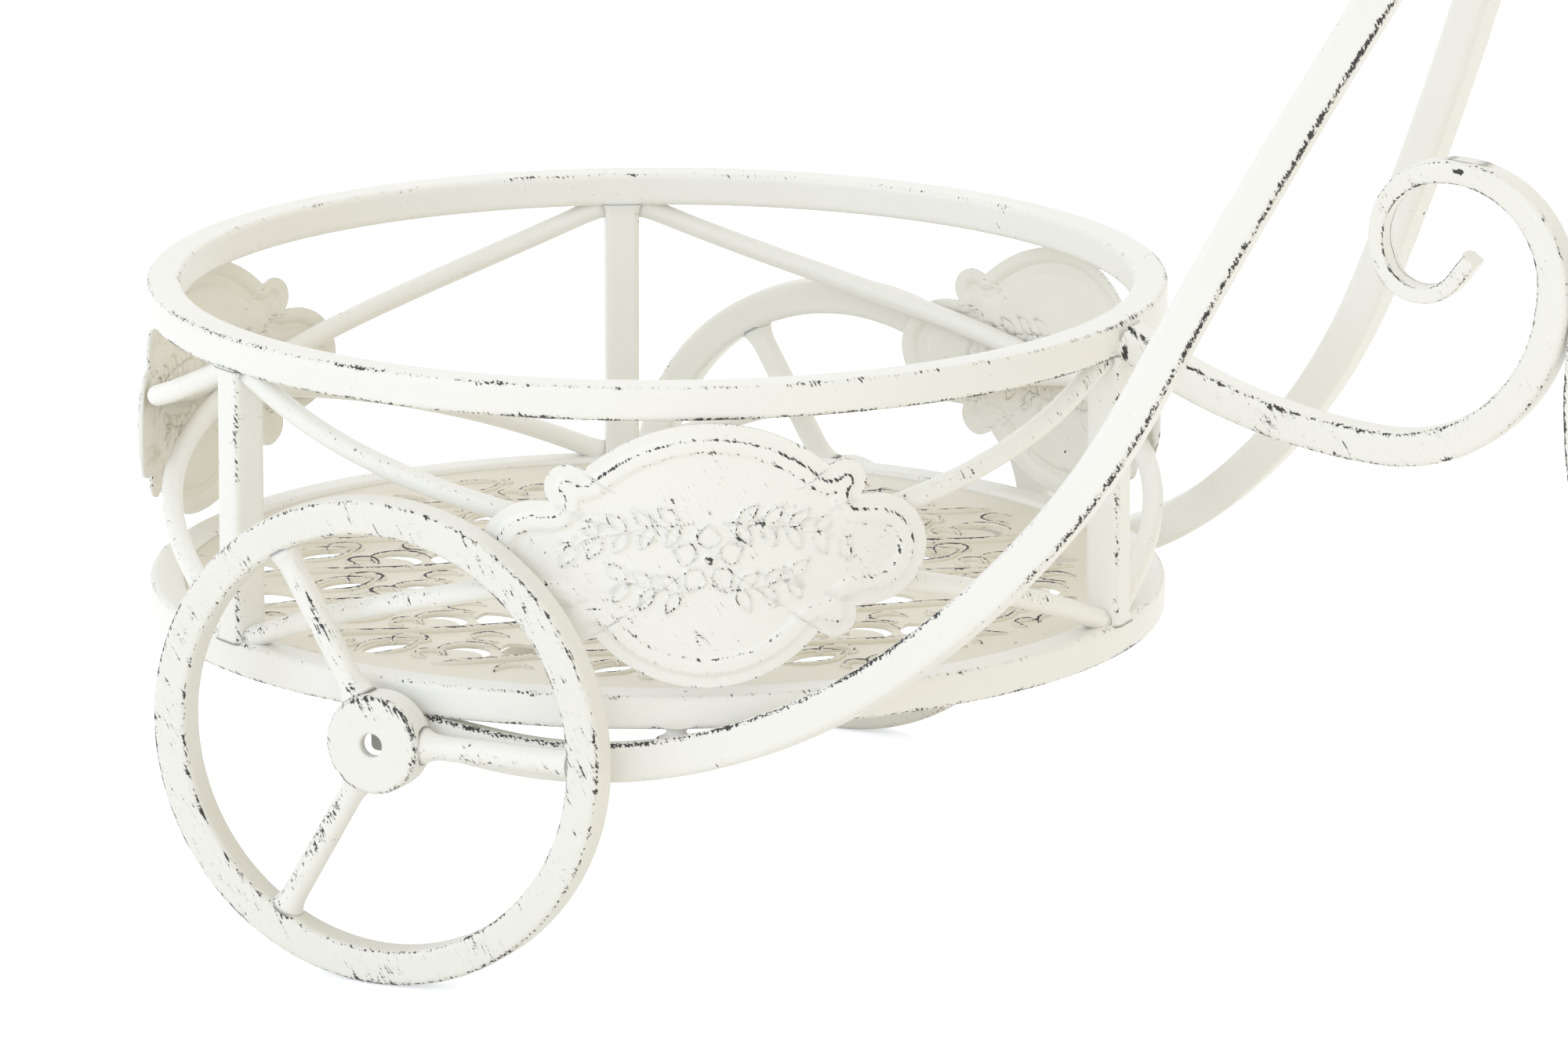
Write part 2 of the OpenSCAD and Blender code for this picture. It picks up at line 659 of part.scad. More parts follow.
front_spoke_set();  // front_spokes
fork_leg(RIGHT);  // fork_leg_right
fork_leg(LEFT);  // fork_leg_left
fork_crown();
stem();
handlebar();
cross_bar();
saddle_post();
saddle();
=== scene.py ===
"""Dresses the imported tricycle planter, piece by piece, in cream enamel that is rubbed through on its edges.

Shapes are drawn in millimetres where their CAD nodes stand, and finish_piece() turns them to metres.
"""

import logging
import math
from dataclasses import dataclass, field, replace
from enum import Enum
from functools import cache
from typing import Callable, Optional, Sequence, Union

import bmesh
import bpy
from mathutils import Matrix, Vector
from mathutils.kdtree import KDTree


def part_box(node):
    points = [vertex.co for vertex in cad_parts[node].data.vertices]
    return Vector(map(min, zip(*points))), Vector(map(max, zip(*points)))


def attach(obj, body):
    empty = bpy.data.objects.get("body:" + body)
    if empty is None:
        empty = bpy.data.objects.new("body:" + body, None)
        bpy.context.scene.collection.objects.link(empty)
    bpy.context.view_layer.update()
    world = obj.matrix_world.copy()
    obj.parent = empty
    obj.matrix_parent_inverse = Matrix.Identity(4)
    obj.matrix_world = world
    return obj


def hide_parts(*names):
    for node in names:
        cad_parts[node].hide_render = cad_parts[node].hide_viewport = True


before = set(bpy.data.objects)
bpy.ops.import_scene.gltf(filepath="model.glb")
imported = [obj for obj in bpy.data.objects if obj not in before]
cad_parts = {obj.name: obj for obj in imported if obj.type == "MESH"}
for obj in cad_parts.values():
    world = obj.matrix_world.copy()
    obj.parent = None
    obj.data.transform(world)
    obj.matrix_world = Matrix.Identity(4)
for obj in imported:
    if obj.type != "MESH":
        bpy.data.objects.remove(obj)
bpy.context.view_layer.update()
LOG = logging.getLogger("planter")

BMesh = bmesh.types.BMesh
Socket = bpy.types.NodeSocket
Line = list[tuple[Vector, Vector]]

MM = 0.001
RUB = "rub"            # vertex layer with the share of wear
PLACE = "place"        # vertex layer with a point's place in its bar's section
BAR = 10.0             # side of the square bar
SINK = 0.8             # how far a welded end runs into the piece that it meets
ROD_SINK = 0.6         # the same where the end is a spoke, a brace rod or at the crown
LONG_EDGE = 2.0        # edges of a section above this length are divided
FILLET_STEPS = 4       # steps within a weld fillet
RIM_FLARE = 1.6        # extra radius of a spoke at its rim
RAKE = 18.0            # backward lean of the fork and stem in degrees
CROWN_AT = 179.5       # height of the crown's middle above the front hub, along the fork
STEM_R = 10.0


class Axis(Enum):
    """Axis of a turned part or a hoop."""

    Y = "Y"
    Z = "Z"


class Side(Enum):
    """Side of the planter, as the sign of Y."""

    RIGHT = -1
    LEFT = 1


# Colours and nodes


def linear(hex_colour: str) -> tuple[float, float, float, float]:
    """Turns an sRGB hex colour to linear light.

    Args:
        hex_colour: Six digits after a hash sign.

    Returns:
        Red, green, blue and alpha.
    """
    parts = [int(hex_colour[i:i + 2], 16) / 255 for i in (1, 3, 5)]
    red, green, blue = [c / 12.92 if c <= 0.04045 else ((c + 0.055) / 1.055) ** 2.4 for c in parts]
    return red, green, blue, 1.0


class Graph:
    """Node tree that starts empty, with the kinds of node that the finishes repeat."""

    def __init__(self, owner: Union[bpy.types.Material, bpy.types.World]) -> None:
        """Empties the owner's node tree."""
        owner.use_nodes = True
        self.tree = owner.node_tree
        self.tree.nodes.clear()

    def add(self, kind: str, inputs: Optional[dict] = None, **settings: object) -> bpy.types.Node:
        """Adds one node with its settings, input values and links.

        Args:
            kind: Node type's identifier after ShaderNode.
            inputs: Fixed values or linked sockets by input name or index.
            **settings: Attributes of the node.

        Returns:
            The new node.
        """
        node = self.tree.nodes.new("ShaderNode" + kind)
        for name, value in settings.items():
            setattr(node, name, value)
        for name, value in (inputs or {}).items():
            if isinstance(value, Socket):
                self.tree.links.new(value, node.inputs[name])
            else:
                node.inputs[name].default_value = value
        return node

    def calc(self, operation: str, *terms: Union[Socket, float]) -> Socket:
        """Result of an operation on sockets and fixed values."""
        return self.add("Math", dict(enumerate(terms)), operation=operation).outputs[0]

    def noise(self, place: Socket, scale: float, detail: float, rough: float) -> Socket:
        """Noise of a scale in features per metre."""
        inputs = {"Vector": place, "Scale": scale, "Detail": detail, "Roughness": rough}
        return self.add("TexNoise", inputs).outputs["Fac"]

    def stretched(self, place: Socket, turn: tuple, stretch: float) -> Socket:
        """Coordinates stretched along one slanted direction."""
        inputs = {"Vector": place, "Rotation": turn, "Scale": (1.0, stretch, 1.0)}
        return self.add("Mapping", inputs, vector_type="TEXTURE").outputs["Vector"]

    def ramp(self, value: Socket, low: float, high: float, at_low: float, at_high: float) -> Socket:
        """Smooth step of a value from one level to another."""
        inputs = {"Value": value, "From Min": low, "From Max": high, "To Min": at_low, "To Max": at_high}
        return self.add("MapRange", inputs, interpolation_type="SMOOTHSTEP").outputs["Result"]

    def blend(self, share: Socket, first: Union[Socket, tuple], second: tuple) -> Socket:
        """Colour between two others."""
        return self.add("Mix", {0: share, 6: first, 7: second}, data_type="RGBA").outputs[2]

    def total(self, *terms: tuple[Socket, float, float]) -> Socket:
        """Adds up terms, each as its factor times the value less its centre.

        Args:
            *terms: Each (socket, factor, centre).

        Returns:
            Socket of the sum.
        """
        scaled = [self.calc("MULTIPLY_ADD", value, factor, -factor * centre)
                  for value, factor, centre in terms]
        result = scaled[0]
        for term in scaled[1:]:
            result = self.calc("ADD", result, term)
        return result

    def seen(self) -> Socket:
        """1 for rays from the camera and for mirrored or refracted ones."""
        path = self.add("LightPath").outputs
        first = self.calc("MAXIMUM", path["Is Camera Ray"], path["Is Glossy Ray"])
        return self.calc("MAXIMUM", first, path["Is Transmission Ray"])


@dataclass(frozen=True)
class RubbedPaint:
    """Cream enamel, brushed over dark steel and rubbed through on its edges for an aged look.

    The paint is satin and slightly warm. Where it is rubbed, short scratchy flecks of charcoal
    show, thickest along the edges and thin on the flats. A chip is (x, y, z, half width, half height).
    """

    name: str
    slot: str
    cream: str = "#F5F5F1"
    shade: str = "#F0EFE9"
    smudge: str = "#C6C4BC"
    steel: str = "#403E3E"
    edge: float = 1.0
    flat: float = 1.0
    patchy: float = 1.4
    slanted: float = 2.3
    level: float = 1.0
    facing: float = -90.0
    roughness: float = 0.42
    bare_roughness: float = 0.7
    chips: tuple = ()

    def build(self) -> bpy.types.Material:
        """Makes the material.

        Returns:
            A material that reads Object coordinates and the piece's rub attribute.
        """
        made = bpy.data.materials.new(self.name)
        graph = Graph(made)
        coords = graph.add("TexCoord").outputs["Object"]
        rub = graph.add("Attribute", attribute_name=RUB).outputs["Fac"]
        # Patches of wear about 24 mm and 6 mm long, so that an edge is rubbed in runs with clean gaps.
        patch = graph.noise(coords, 42.0, 2.0, 0.55)
        gaps = graph.noise(coords, 165.0, 1.0, 0.5)
        # Strokes of the sanding block, 0.7 mm wide and 6 mm long: one set runs down the upright faces at a
        # slant, the other along the level ones. The real scratches are finer and longer.
        down = (-math.pi / 2, -0.55, math.radians(self.facing + 90))
        stroke = graph.noise(graph.stretched(coords, down, 9.0), 1500.0, 2.0, 0.55)
        level = graph.noise(graph.stretched(coords, (0.1, 0.0, -1.2), 8.0), 1400.0, 2.0, 0.55)
        amount = graph.total((rub, 0.85 * self.edge, 0.0), (patch, self.patchy, 0.5), (gaps, 0.8, 0.5),
                             (stroke, self.slanted, 0.5), (level, self.level, 0.5))
        start = 0.80 - 0.10 * (self.flat - 1.0)
        through = graph.ramp(amount, start, start + 0.16, 0.0, 1.0)
        halo = graph.ramp(amount, start - 0.30, start + 0.05, 0.0, 0.32)
        # Pinholes under 1 mm wide where a drop of paint broke.
        cells = graph.add("TexVoronoi", {"Vector": coords, "Scale": 62.0}).outputs["Distance"]
        pinholes = graph.calc("MULTIPLY", graph.ramp(cells, 0.040, 0.022, 0.0, 1.0),
                              graph.ramp(patch, 0.55, 0.58, 0.0, 1.0))
        bare = graph.calc("MAXIMUM", through, pinholes)
        for x, y, z, wide, tall in self.chips:
            chip = self._chip(graph, coords, (x, y, z), (wide, wide, tall), stroke)
            bare = graph.calc("MAXIMUM", bare, chip)
        # Brushed coats differ a little over 60 mm.
        coat = graph.blend(graph.noise(coords, 16.0, 2.0, 0.5), linear(self.cream), linear(self.shade))
        worn = graph.blend(bare, graph.blend(halo, coat, linear(self.smudge)), linear(self.steel))
        # Lumps of thick enamel about 10 mm across, its orange-peel of 3 mm, and the step down to the metal.
        height = graph.total((graph.noise(coords, 95.0, 1.0, 0.5), 1.4, 0.0),
                             (graph.noise(coords, 380.0, 2.0, 0.5), 0.30, 0.0), (through, -0.4, 0.0))
        bump = graph.add("Bump", {"Strength": 0.30, "Distance": 0.5 * MM, "Height": height})
        rough = graph.ramp(bare, 0, 1, self.roughness, self.bare_roughness)
        shader = graph.add("BsdfPrincipled", {"IOR": 1.5, "Base Color": worn, "Roughness": rough,
                                              "Normal": bump.outputs["Normal"]})
        graph.add("OutputMaterial", {"Surface": shader.outputs["BSDF"]})
        return made

    @staticmethod
    def _chip(graph: Graph, coords: Socket, place: tuple, reach: tuple, ragged: Socket) -> Socket:
        """One knocked spot where the coat has come off.

        Args:
            graph: Node tree that gets the nodes.
            coords: Object coordinates.
            place: The spot's middle in millimetres.
            reach: Its half sizes in millimetres.
            ragged: Noise that breaks its edge.

        Returns:
            1 inside the spot and 0 outside.
        """
        inputs = {"Vector": coords, "Location": [c * MM for c in place], "Scale": [r * MM for r in reach]}
        local = graph.add("Mapping", inputs, vector_type="TEXTURE").outputs["Vector"]
        away = graph.add("VectorMath", {0: local}, operation="LENGTH").outputs["Value"]
        return graph.ramp(graph.total((away, 1.0, 0.0), (ragged, 2.6, 0.5)), 0.75, 0.95, 1.0, 0.0)


BAR_PAINT = RubbedPaint("enamel_rubbed_bar", "bar_paint", edge=1.08,
                        chips=((-79.6, -5.2, 163.0, 1.1, 3.0), (18.6, -4.5, 223.0, 2.0, 0.9),
                               (-293.1, -127.8, 161.5, 0.7, 0.7), (-158.6, -123.5, 84.4, 0.6, 0.6)))
ROD_PAINT = RubbedPaint("enamel_rubbed_rod", "rod_paint", edge=0.88,
                        chips=((-222.3, -154.8, 71.1, 0.7, 0.7),))
SHEET_PAINT = RubbedPaint("enamel_rubbed_pressed_sheet", "sheet_paint", edge=1.05, patchy=1.0)
# The sheets' backs get a warmer, slightly darker cream than their faces: painted shade for the backs inside
# the basket.
SHEET_BACK_WITH_PAINTED_SHADE = RubbedPaint("enamel_sheet_back_painted_shade", "sheet_paint", "#F3F1E8", "#EEECE2", edge=0.1, flat=0.5)
# The floor plate's darker, warmer cream is painted shade, standing in for the shade inside the basket.
FLOOR_WITH_PAINTED_SHADE = RubbedPaint("enamel_rubbed_stamped_plate", "sheet_paint", "#EDE9DD", "#E3DECF", edge=1.25,
                          flat=1.8, slanted=0.9, level=2.3)
ARM_PAINT = RubbedPaint("enamel_rubbed_arm", "bar_paint", edge=1.12, patchy=1.05, slanted=2.0)
# Rims and hubs get a slightly darker cream than the other bars: painted shade for the wheels' faces, which
# catch less light.
RIM_WITH_PAINTED_SHADE = RubbedPaint("enamel_rubbed_rim_painted_shade", "bar_paint", "#F0F0EA", "#EAE9E2", patchy=1.05)
HUB_WITH_PAINTED_SHADE = RubbedPaint("enamel_rubbed_hub_painted_shade", "hub_paint", "#F1F1EB", "#EBEAE3", edge=0.85, patchy=0.9)


@cache
def paint(finish: RubbedPaint) -> bpy.types.Material:
    """The finish's material, built once."""
    return finish.build()


# Shapes


def smooth(x: float, low: float = 0.0, high: float = 1.0) -> float:
    """Smooth step from 0 at low to 1 at high."""
    t = min(1.0, max(0.0, (x - low) / (high - low)))
    return t * t * (3 - 2 * t)


def layers(bm: BMesh) -> tuple:
    """The mesh's rub and place layers, made where it has none."""
    shares, places = bm.verts.layers.float, bm.verts.layers.float_vector
    return shares.get(RUB) or shares.new(RUB), places.get(PLACE) or places.new(PLACE)


def empty_mesh() -> BMesh:
    """A mesh with both layers, for shapes to be drawn in or added to."""
    bm = bmesh.new()
    layers(bm)
    return bm


def add_to(whole: BMesh, part: BMesh) -> None:
    """Adds a mesh to another through a temporary datablock, and frees it."""
    mesh = bpy.data.meshes.new("part")
    part.to_mesh(mesh)
    part.free()
    whole.from_mesh(mesh)
    bpy.data.meshes.remove(mesh)


def turn_mesh(bm: BMesh, degrees: float, axis: str) -> None:
    """Turns a whole mesh about an axis through the origin."""
    bmesh.ops.rotate(bm, verts=bm.verts[:], matrix=Matrix.Rotation(math.radians(degrees), 3, axis))


def bevel(bm: BMesh, geom: Sequence, radius: float, affect: str = "VERTICES", segments: int = 4) -> None:
    """Rounds corners of a section, or edges of a solid, to a radius."""
    bmesh.ops.bevel(bm, geom=geom, affect=affect, offset=radius, offset_type="OFFSET", segments=segments,
                    profile=0.5, material=-1, clamp_overlap=affect == "EDGES")


def divide(bm: BMesh, cuts: int) -> None:
    """Divides a section's long edges, so that wear can fade along them."""
    bmesh.ops.subdivide_edges(bm, edges=[e for e in bm.edges if e.calc_length() > LONG_EDGE], cuts=cuts)


def full_spin(bm: BMesh, steps: int) -> None:
    """Spins a section all the way round Z."""
    bmesh.ops.spin(bm, geom=bm.verts[:] + bm.edges[:], cent=(0, 0, 0), axis=(0, 0, 1), angle=math.tau,
                   steps=steps, use_merge=True)


def lay_on_axis(bm: BMesh, axis: Axis) -> None:
    """Lays a shape that was spun about Z along its own axis, and sets its normals."""
    if axis is Axis.Y:
        turn_mesh(bm, 90, "X")
    bmesh.ops.recalc_face_normals(bm, faces=bm.faces[:])


def face_out(bm: BMesh, axis: int) -> None:
    """Makes an open sheet's normals agree, on the whole towards the positive side of an axis."""
    bmesh.ops.recalc_face_normals(bm, faces=bm.faces[:])
    if sum(f.normal[axis] for f in bm.faces) < 0:
        bmesh.ops.reverse_faces(bm, faces=bm.faces[:])


def headings(points: list[Vector]) -> list[Vector]:
    """Way of a smooth line at each of its points."""
    return [(b - a).normalized() for a, b in zip(points[:1] + points, points[1:] + points[-1:])]


def node_middle(node: str) -> Vector:
    """Middle of a CAD node's box, in millimetres."""
    low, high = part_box(node)
    return (low + high) / 2 / MM


def node_line(node: str, axis: int, sink: float = 0.0) -> tuple[Vector, Vector]:
    """Ends of a CAD node's middle line, in millimetres.

    Args:
        node: The node.
        axis: Number of the axis that the line follows.
        sink: How far each end runs past the node's box.

    Returns:
        Its low end and its high end.
    """
    low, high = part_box(node)
    a, b = node_middle(node), node_middle(node)
    a[axis], b[axis] = low[axis] / MM - sink, high[axis] / MM + sink
    return a, b


@dataclass
class Station:
    """One cross-section of a swept bar: its place, its way, its two scales and where its X leans."""

    point: Vector
    way: Vector
    side_scale: float = 1.0
    up_scale: float = 1.0
    hint: Optional[Vector] = None

    def matrix(self, side_hint: Vector) -> Matrix:
        """Frame of the section, its X near its own hint or else the given one, and its Z along the way."""
        side_hint = self.hint or side_hint
        way = self.way.normalized()
        side = (side_hint - side_hint.dot(way) * way).normalized()
        up = way.cross(side)
        turned = Matrix((side * self.side_scale, up * self.up_scale, way)).transposed().to_4x4()
        return Matrix.Translation(self.point) @ turned


@dataclass(frozen=True)
class BarProfile:
    """Rounded section of a square bar, with the share of wear at each of its points.

    Corners are worn in the order (+X +Y), (-X +Y), (-X -Y), (+X -Y), and faces in the order +X, +Y, -X, -Y.
    """

    width: float = BAR
    height: float = BAR
    corner: float = 1.8
    rub_width: float = 1.3
    rub_corners: tuple = (1.0, 1.0, 1.0, 1.0)
    rub_faces: tuple = (0.0, 0.0, 0.0, 0.0)

    def draw(self, bm: BMesh) -> list:
        """Draws the section about the origin, in the XY plane.

        Args:
            bm: Mesh that gets it.

        Returns:
            The section's edges.
        """
        made = bmesh.ops.create_circle(bm, segments=4, radius=math.sqrt(0.5), cap_ends=False,
                                       matrix=Matrix.Rotation(math.pi / 4, 4, "Z"))
        bmesh.ops.scale(bm, verts=made["verts"], vec=(self.width, self.height, 1))
        bevel(bm, made["verts"], self.corner)
        divide(bm, 7)
        rub, place = layers(bm)
        for v in bm.verts:
            v[rub] = self._wear(v.co.x, v.co.y)
            v[place] = v.co
        return bm.edges[:]

    def _wear(self, x: float, y: float) -> float:
        """Share of wear at a point of the section, from its nearest corner or its face."""
        in_x, in_y = self.width / 2 - abs(x), self.height / 2 - abs(y)
        quarter = (0 if x > 0 else 1) if y > 0 else (3 if x > 0 else 2)
        face = (0 if x > 0 else 2) if in_x < in_y else (1 if y > 0 else 3)
        reach = max(in_x, in_y) - self.corner * 0.3
        worn = self.rub_corners[quarter] * (1 - smooth(reach, 0.0, self.rub_width))
        return max(worn, self.rub_faces[face])


@dataclass(frozen=True)
class RodProfile(BarProfile):
    """Section of a round rod, worn on the side that lies at an angle in degrees."""

    width: float = 6.0
    sides: int = 20
    rub_most: float = 0.62
    rub_at: float = 180.0

    def draw(self, bm: BMesh) -> list:
        """Draws the circle; see BarProfile.draw."""
        rub, place = layers(bm)
        bmesh.ops.create_circle(bm, segments=self.sides, radius=self.width / 2, cap_ends=False)
        for v in bm.verts:
            turn = math.cos(math.atan2(v.co.y, v.co.x) - math.radians(self.rub_at))
            v[rub] = self.rub_most * smooth(turn, 0.65, 1.0)
            v[place] = v.co
        return bm.edges[:]


def sweep(profile: BarProfile, stations: Sequence[Station], side_hint: Vector = Vector((0, 1, 0)),
          rounded: float = 0.0) -> BMesh:
    """Extrudes a section from station to station and closes both ends.

    Args:
        profile: Section of the bar.
        stations: Where the sections stand, in millimetres.
        side_hint: Direction that the section's X stays near.
        rounded: Radius by which the end faces' edges are bevelled.

    Returns:
        The closed mesh, in millimetres.
    """
    bm = bmesh.new()
    first = edges = profile.draw(bm)
    place = layers(bm)[1]
    bmesh.ops.transform(bm, matrix=stations[0].matrix(side_hint), verts=bm.verts[:])
    for station in stations[1:]:
        made = bmesh.ops.extrude_edge_only(bm, edges=edges)["geom"]
        turned = station.matrix(side_hint)
        for v in made:
            if isinstance(v, bmesh.types.BMVert):
                v.co = turned @ v[place]
        edges = [e for e in made if isinstance(e, bmesh.types.BMEdge) and len(e.link_faces) == 1]
    caps = []
    for loop in (first, edges):
        caps += bmesh.ops.contextual_create(bm, geom=loop)["faces"]
    if rounded:
        bevel(bm, list({e for f in caps for e in f.edges}), rounded, "EDGES", 3)
    bmesh.ops.recalc_face_normals(bm, faces=bm.faces[:])
    return bm


def flared(points: Line, reach: float, start: float, end: float, radius: float) -> list[Station]:
    """Turns points and ways into stations that widen like a weld fillet towards both ends.

    Args:
        points: Pairs of point and way.
        reach: Length over which a fillet fades.
        start: Extra radius at the first point.
        end: Extra radius at the last point.
        radius: The rod's own radius.

    Returns:
        The stations.
    """
    run = [0.0]
    for (a, _), (b, _) in zip(points, points[1:]):
        run.append(run[-1] + (b - a).length)
    made = []
    for (point, way), s in zip(points, run):
        near = start * max(0.0, 1 - s / reach) ** 2.2 + end * max(0.0, 1 - (run[-1] - s) / reach) ** 2.2
        made.append(Station(point, way, 1 + near / radius, 1 + near / radius))
    return made


def straight(ends: tuple[Vector, Vector], reach: float, start: float = 0.0, end: float = 0.0,
             radius: float = BAR / 2) -> list[Station]:
    """Stations of a straight bar or rod, close together where its fillets are.

    Args:
        ends: Its two ends.
        reach: Length of each end's fillet.
        start: Extra radius at the first end.
        end: Extra radius at the other end.
        radius: The bar's or rod's own radius.

    Returns:
        The stations.
    """
    a, b = ends
    near = [reach * k / FILLET_STEPS for k in range(FILLET_STEPS + 1)]
    run = near + [(b - a).length - s for s in reversed(near)]
    way = (b - a).normalized()
    return flared([(a + way * s, way) for s in run], reach, start, end, radius)


def spun(points: Sequence[tuple[float, float]], axis: Axis, steps: int, bevels: Sequence[tuple[int, float]],
         rub: Callable[[float, float], float], closed: bool = True) -> BMesh:
    """Spins a section about an axis through the origin.

    Args:
        points: Corners of the section as (radius, height along the axis).
        axis: Axis of the spin.
        steps: Steps of the full turn.
        bevels: Pairs of corner number and rounding radius.
        rub: Share of wear at a (radius, height).
        closed: Whether the section closes on itself.

    Returns:
        The mesh, in millimetres.
    """
    bm = empty_mesh()
    verts = [bm.verts.new((r, 0, h)) for r, h in points]
    for a, b in list(zip(verts, verts[1:])) + ([(verts[-1], verts[0])] if closed else []):
        bm.edges.new((a, b))
    for number, radius in bevels:
        bevel(bm, [verts[number]], radius)
    divide(bm, 5)
    layer = layers(bm)[0]
    for v in bm.verts:
        v[layer] = rub(v.co.x, v.co.z)
    full_spin(bm, steps)
    bmesh.ops.remove_doubles(bm, verts=bm.verts[:], dist=1e-4)
    lay_on_axis(bm, axis)
    return bm


def hoop(outer_d: float, axis: Axis, steps: int, profile: BarProfile = BarProfile()) -> BMesh:
    """Square bar bent to a hoop about the origin.

    Args:
        outer_d: Outer diameter.
        axis: Axis of the hoop.
        steps: Steps of the full turn.
        profile: Section of the bar.

    Returns:
        The mesh, in millimetres.
    """
    bm = bmesh.new()
    profile.draw(bm)
    turn_mesh(bm, 90, "X")
    bmesh.ops.translate(bm, verts=bm.verts[:], vec=(outer_d / 2 - profile.width / 2, 0, 0))
    full_spin(bm, steps)
    lay_on_axis(bm, axis)
    return bm


def spokes(angles: Sequence[float], profile: RodProfile, hub_r: float, rim_r: float, reach: float,
           flare: float) -> BMesh:
    """Round spokes between a hub and its rim, flared where they are welded.

    Args:
        angles: The spokes' angles about Y, in radians.
        profile: Their section.
        hub_r: Radius of the hub.
        rim_r: Inner radius of the rim.
        reach: Length of the fillets.
        flare: Extra radius at the hub.

    Returns:
        The spokes as one mesh about the wheel's middle.
    """
    whole = empty_mesh()
    for angle in angles:
        way = Vector((math.cos(angle), 0, math.sin(angle)))
        ends = way * (hub_r - SINK), way * (rim_r + ROD_SINK)
        add_to(whole, sweep(profile, straight(ends, reach, flare, RIM_FLARE, profile.width / 2)))
    return whole


def walk(start: Sequence[float], pieces: Sequence[tuple], step: float) -> Line:
    """Follows runs that turn in the XZ plane while they drift inwards.

    Args:
        start: X, Y, Z, heading in degrees and inward slope.
        pieces: Each (length, turn in degrees, inward slope at its start and end).
        step: Longest step.

    Returns:
        Pairs of point and way.
    """
    x, y, z, heading, slope = start
    made = [(x, y, z, heading, slope)]
    for length, turn, slope_a, slope_b in pieces:
        count = math.ceil(length / step)
        for i in range(1, count + 1):
            middle = math.radians(heading + turn / count / 2)
            x += length / count * math.cos(middle)
            y -= length / count * (slope_a + (slope_b - slope_a) * (i - 0.5) / count)
            z += length / count * math.sin(middle)
            heading += turn / count
            slope = slope_a + (slope_b - slope_a) * i / count
            made.append((x, y, z, heading, slope))
    points = []
    for x, y, z, heading, slope in made:
        turned = math.radians(heading)
        points.append((Vector((x, y, z)), Vector((math.cos(turned), -slope, math.sin(turned))).normalized()))
    return points


def arc(radius: float, turn: float, slope_a: float = 0.0, slope_b: float = 0.0) -> tuple:
    """A bend of a radius and a turn in degrees, as walk() takes it."""
    return radius * math.radians(abs(turn)), turn, slope_a, slope_b


def finish_piece(bm: BMesh, name: str, finish: RubbedPaint, nodes: Sequence[str] = (),
                 move: Vector = Vector((0, 0, 0))) -> bpy.types.Object:
    """Turns a mesh in millimetres into a piece of the planter.

    Args:
        bm: The mesh; it is freed.
        name: The piece's name.
        finish: Its finish.
        nodes: CAD nodes that it stands for.
        move: Shift in millimetres.

    Returns:
        The piece.
    """
    bmesh.ops.translate(bm, verts=bm.verts[:], vec=move)
    bmesh.ops.scale(bm, verts=bm.verts[:], vec=(MM, MM, MM))
    mesh = bpy.data.meshes.new(name)
    bm.to_mesh(mesh)
    bm.free()
    mesh.shade_smooth()
    mesh.materials.append(paint(finish))
    piece = bpy.data.objects.new(name, mesh)
    bpy.context.scene.collection.objects.link(piece)
    weight = piece.modifiers.new("flat_faces", "WEIGHTED_NORMAL")
    weight.weight = 60
    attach(piece, "root")
    if nodes:
        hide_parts(*nodes)
    LOG.info("%s: %d faces", name, len(mesh.polygons))
    return piece


def add_wall(piece: bpy.types.Object, thickness: float) -> bpy.types.Modifier:
    """Thickens a sheet behind its face, by a thickness in millimetres."""
    wall = piece.modifiers.new("sheet", "SOLIDIFY")
    wall.thickness, wall.offset = thickness * MM, -1.0
    return wall


# Basket


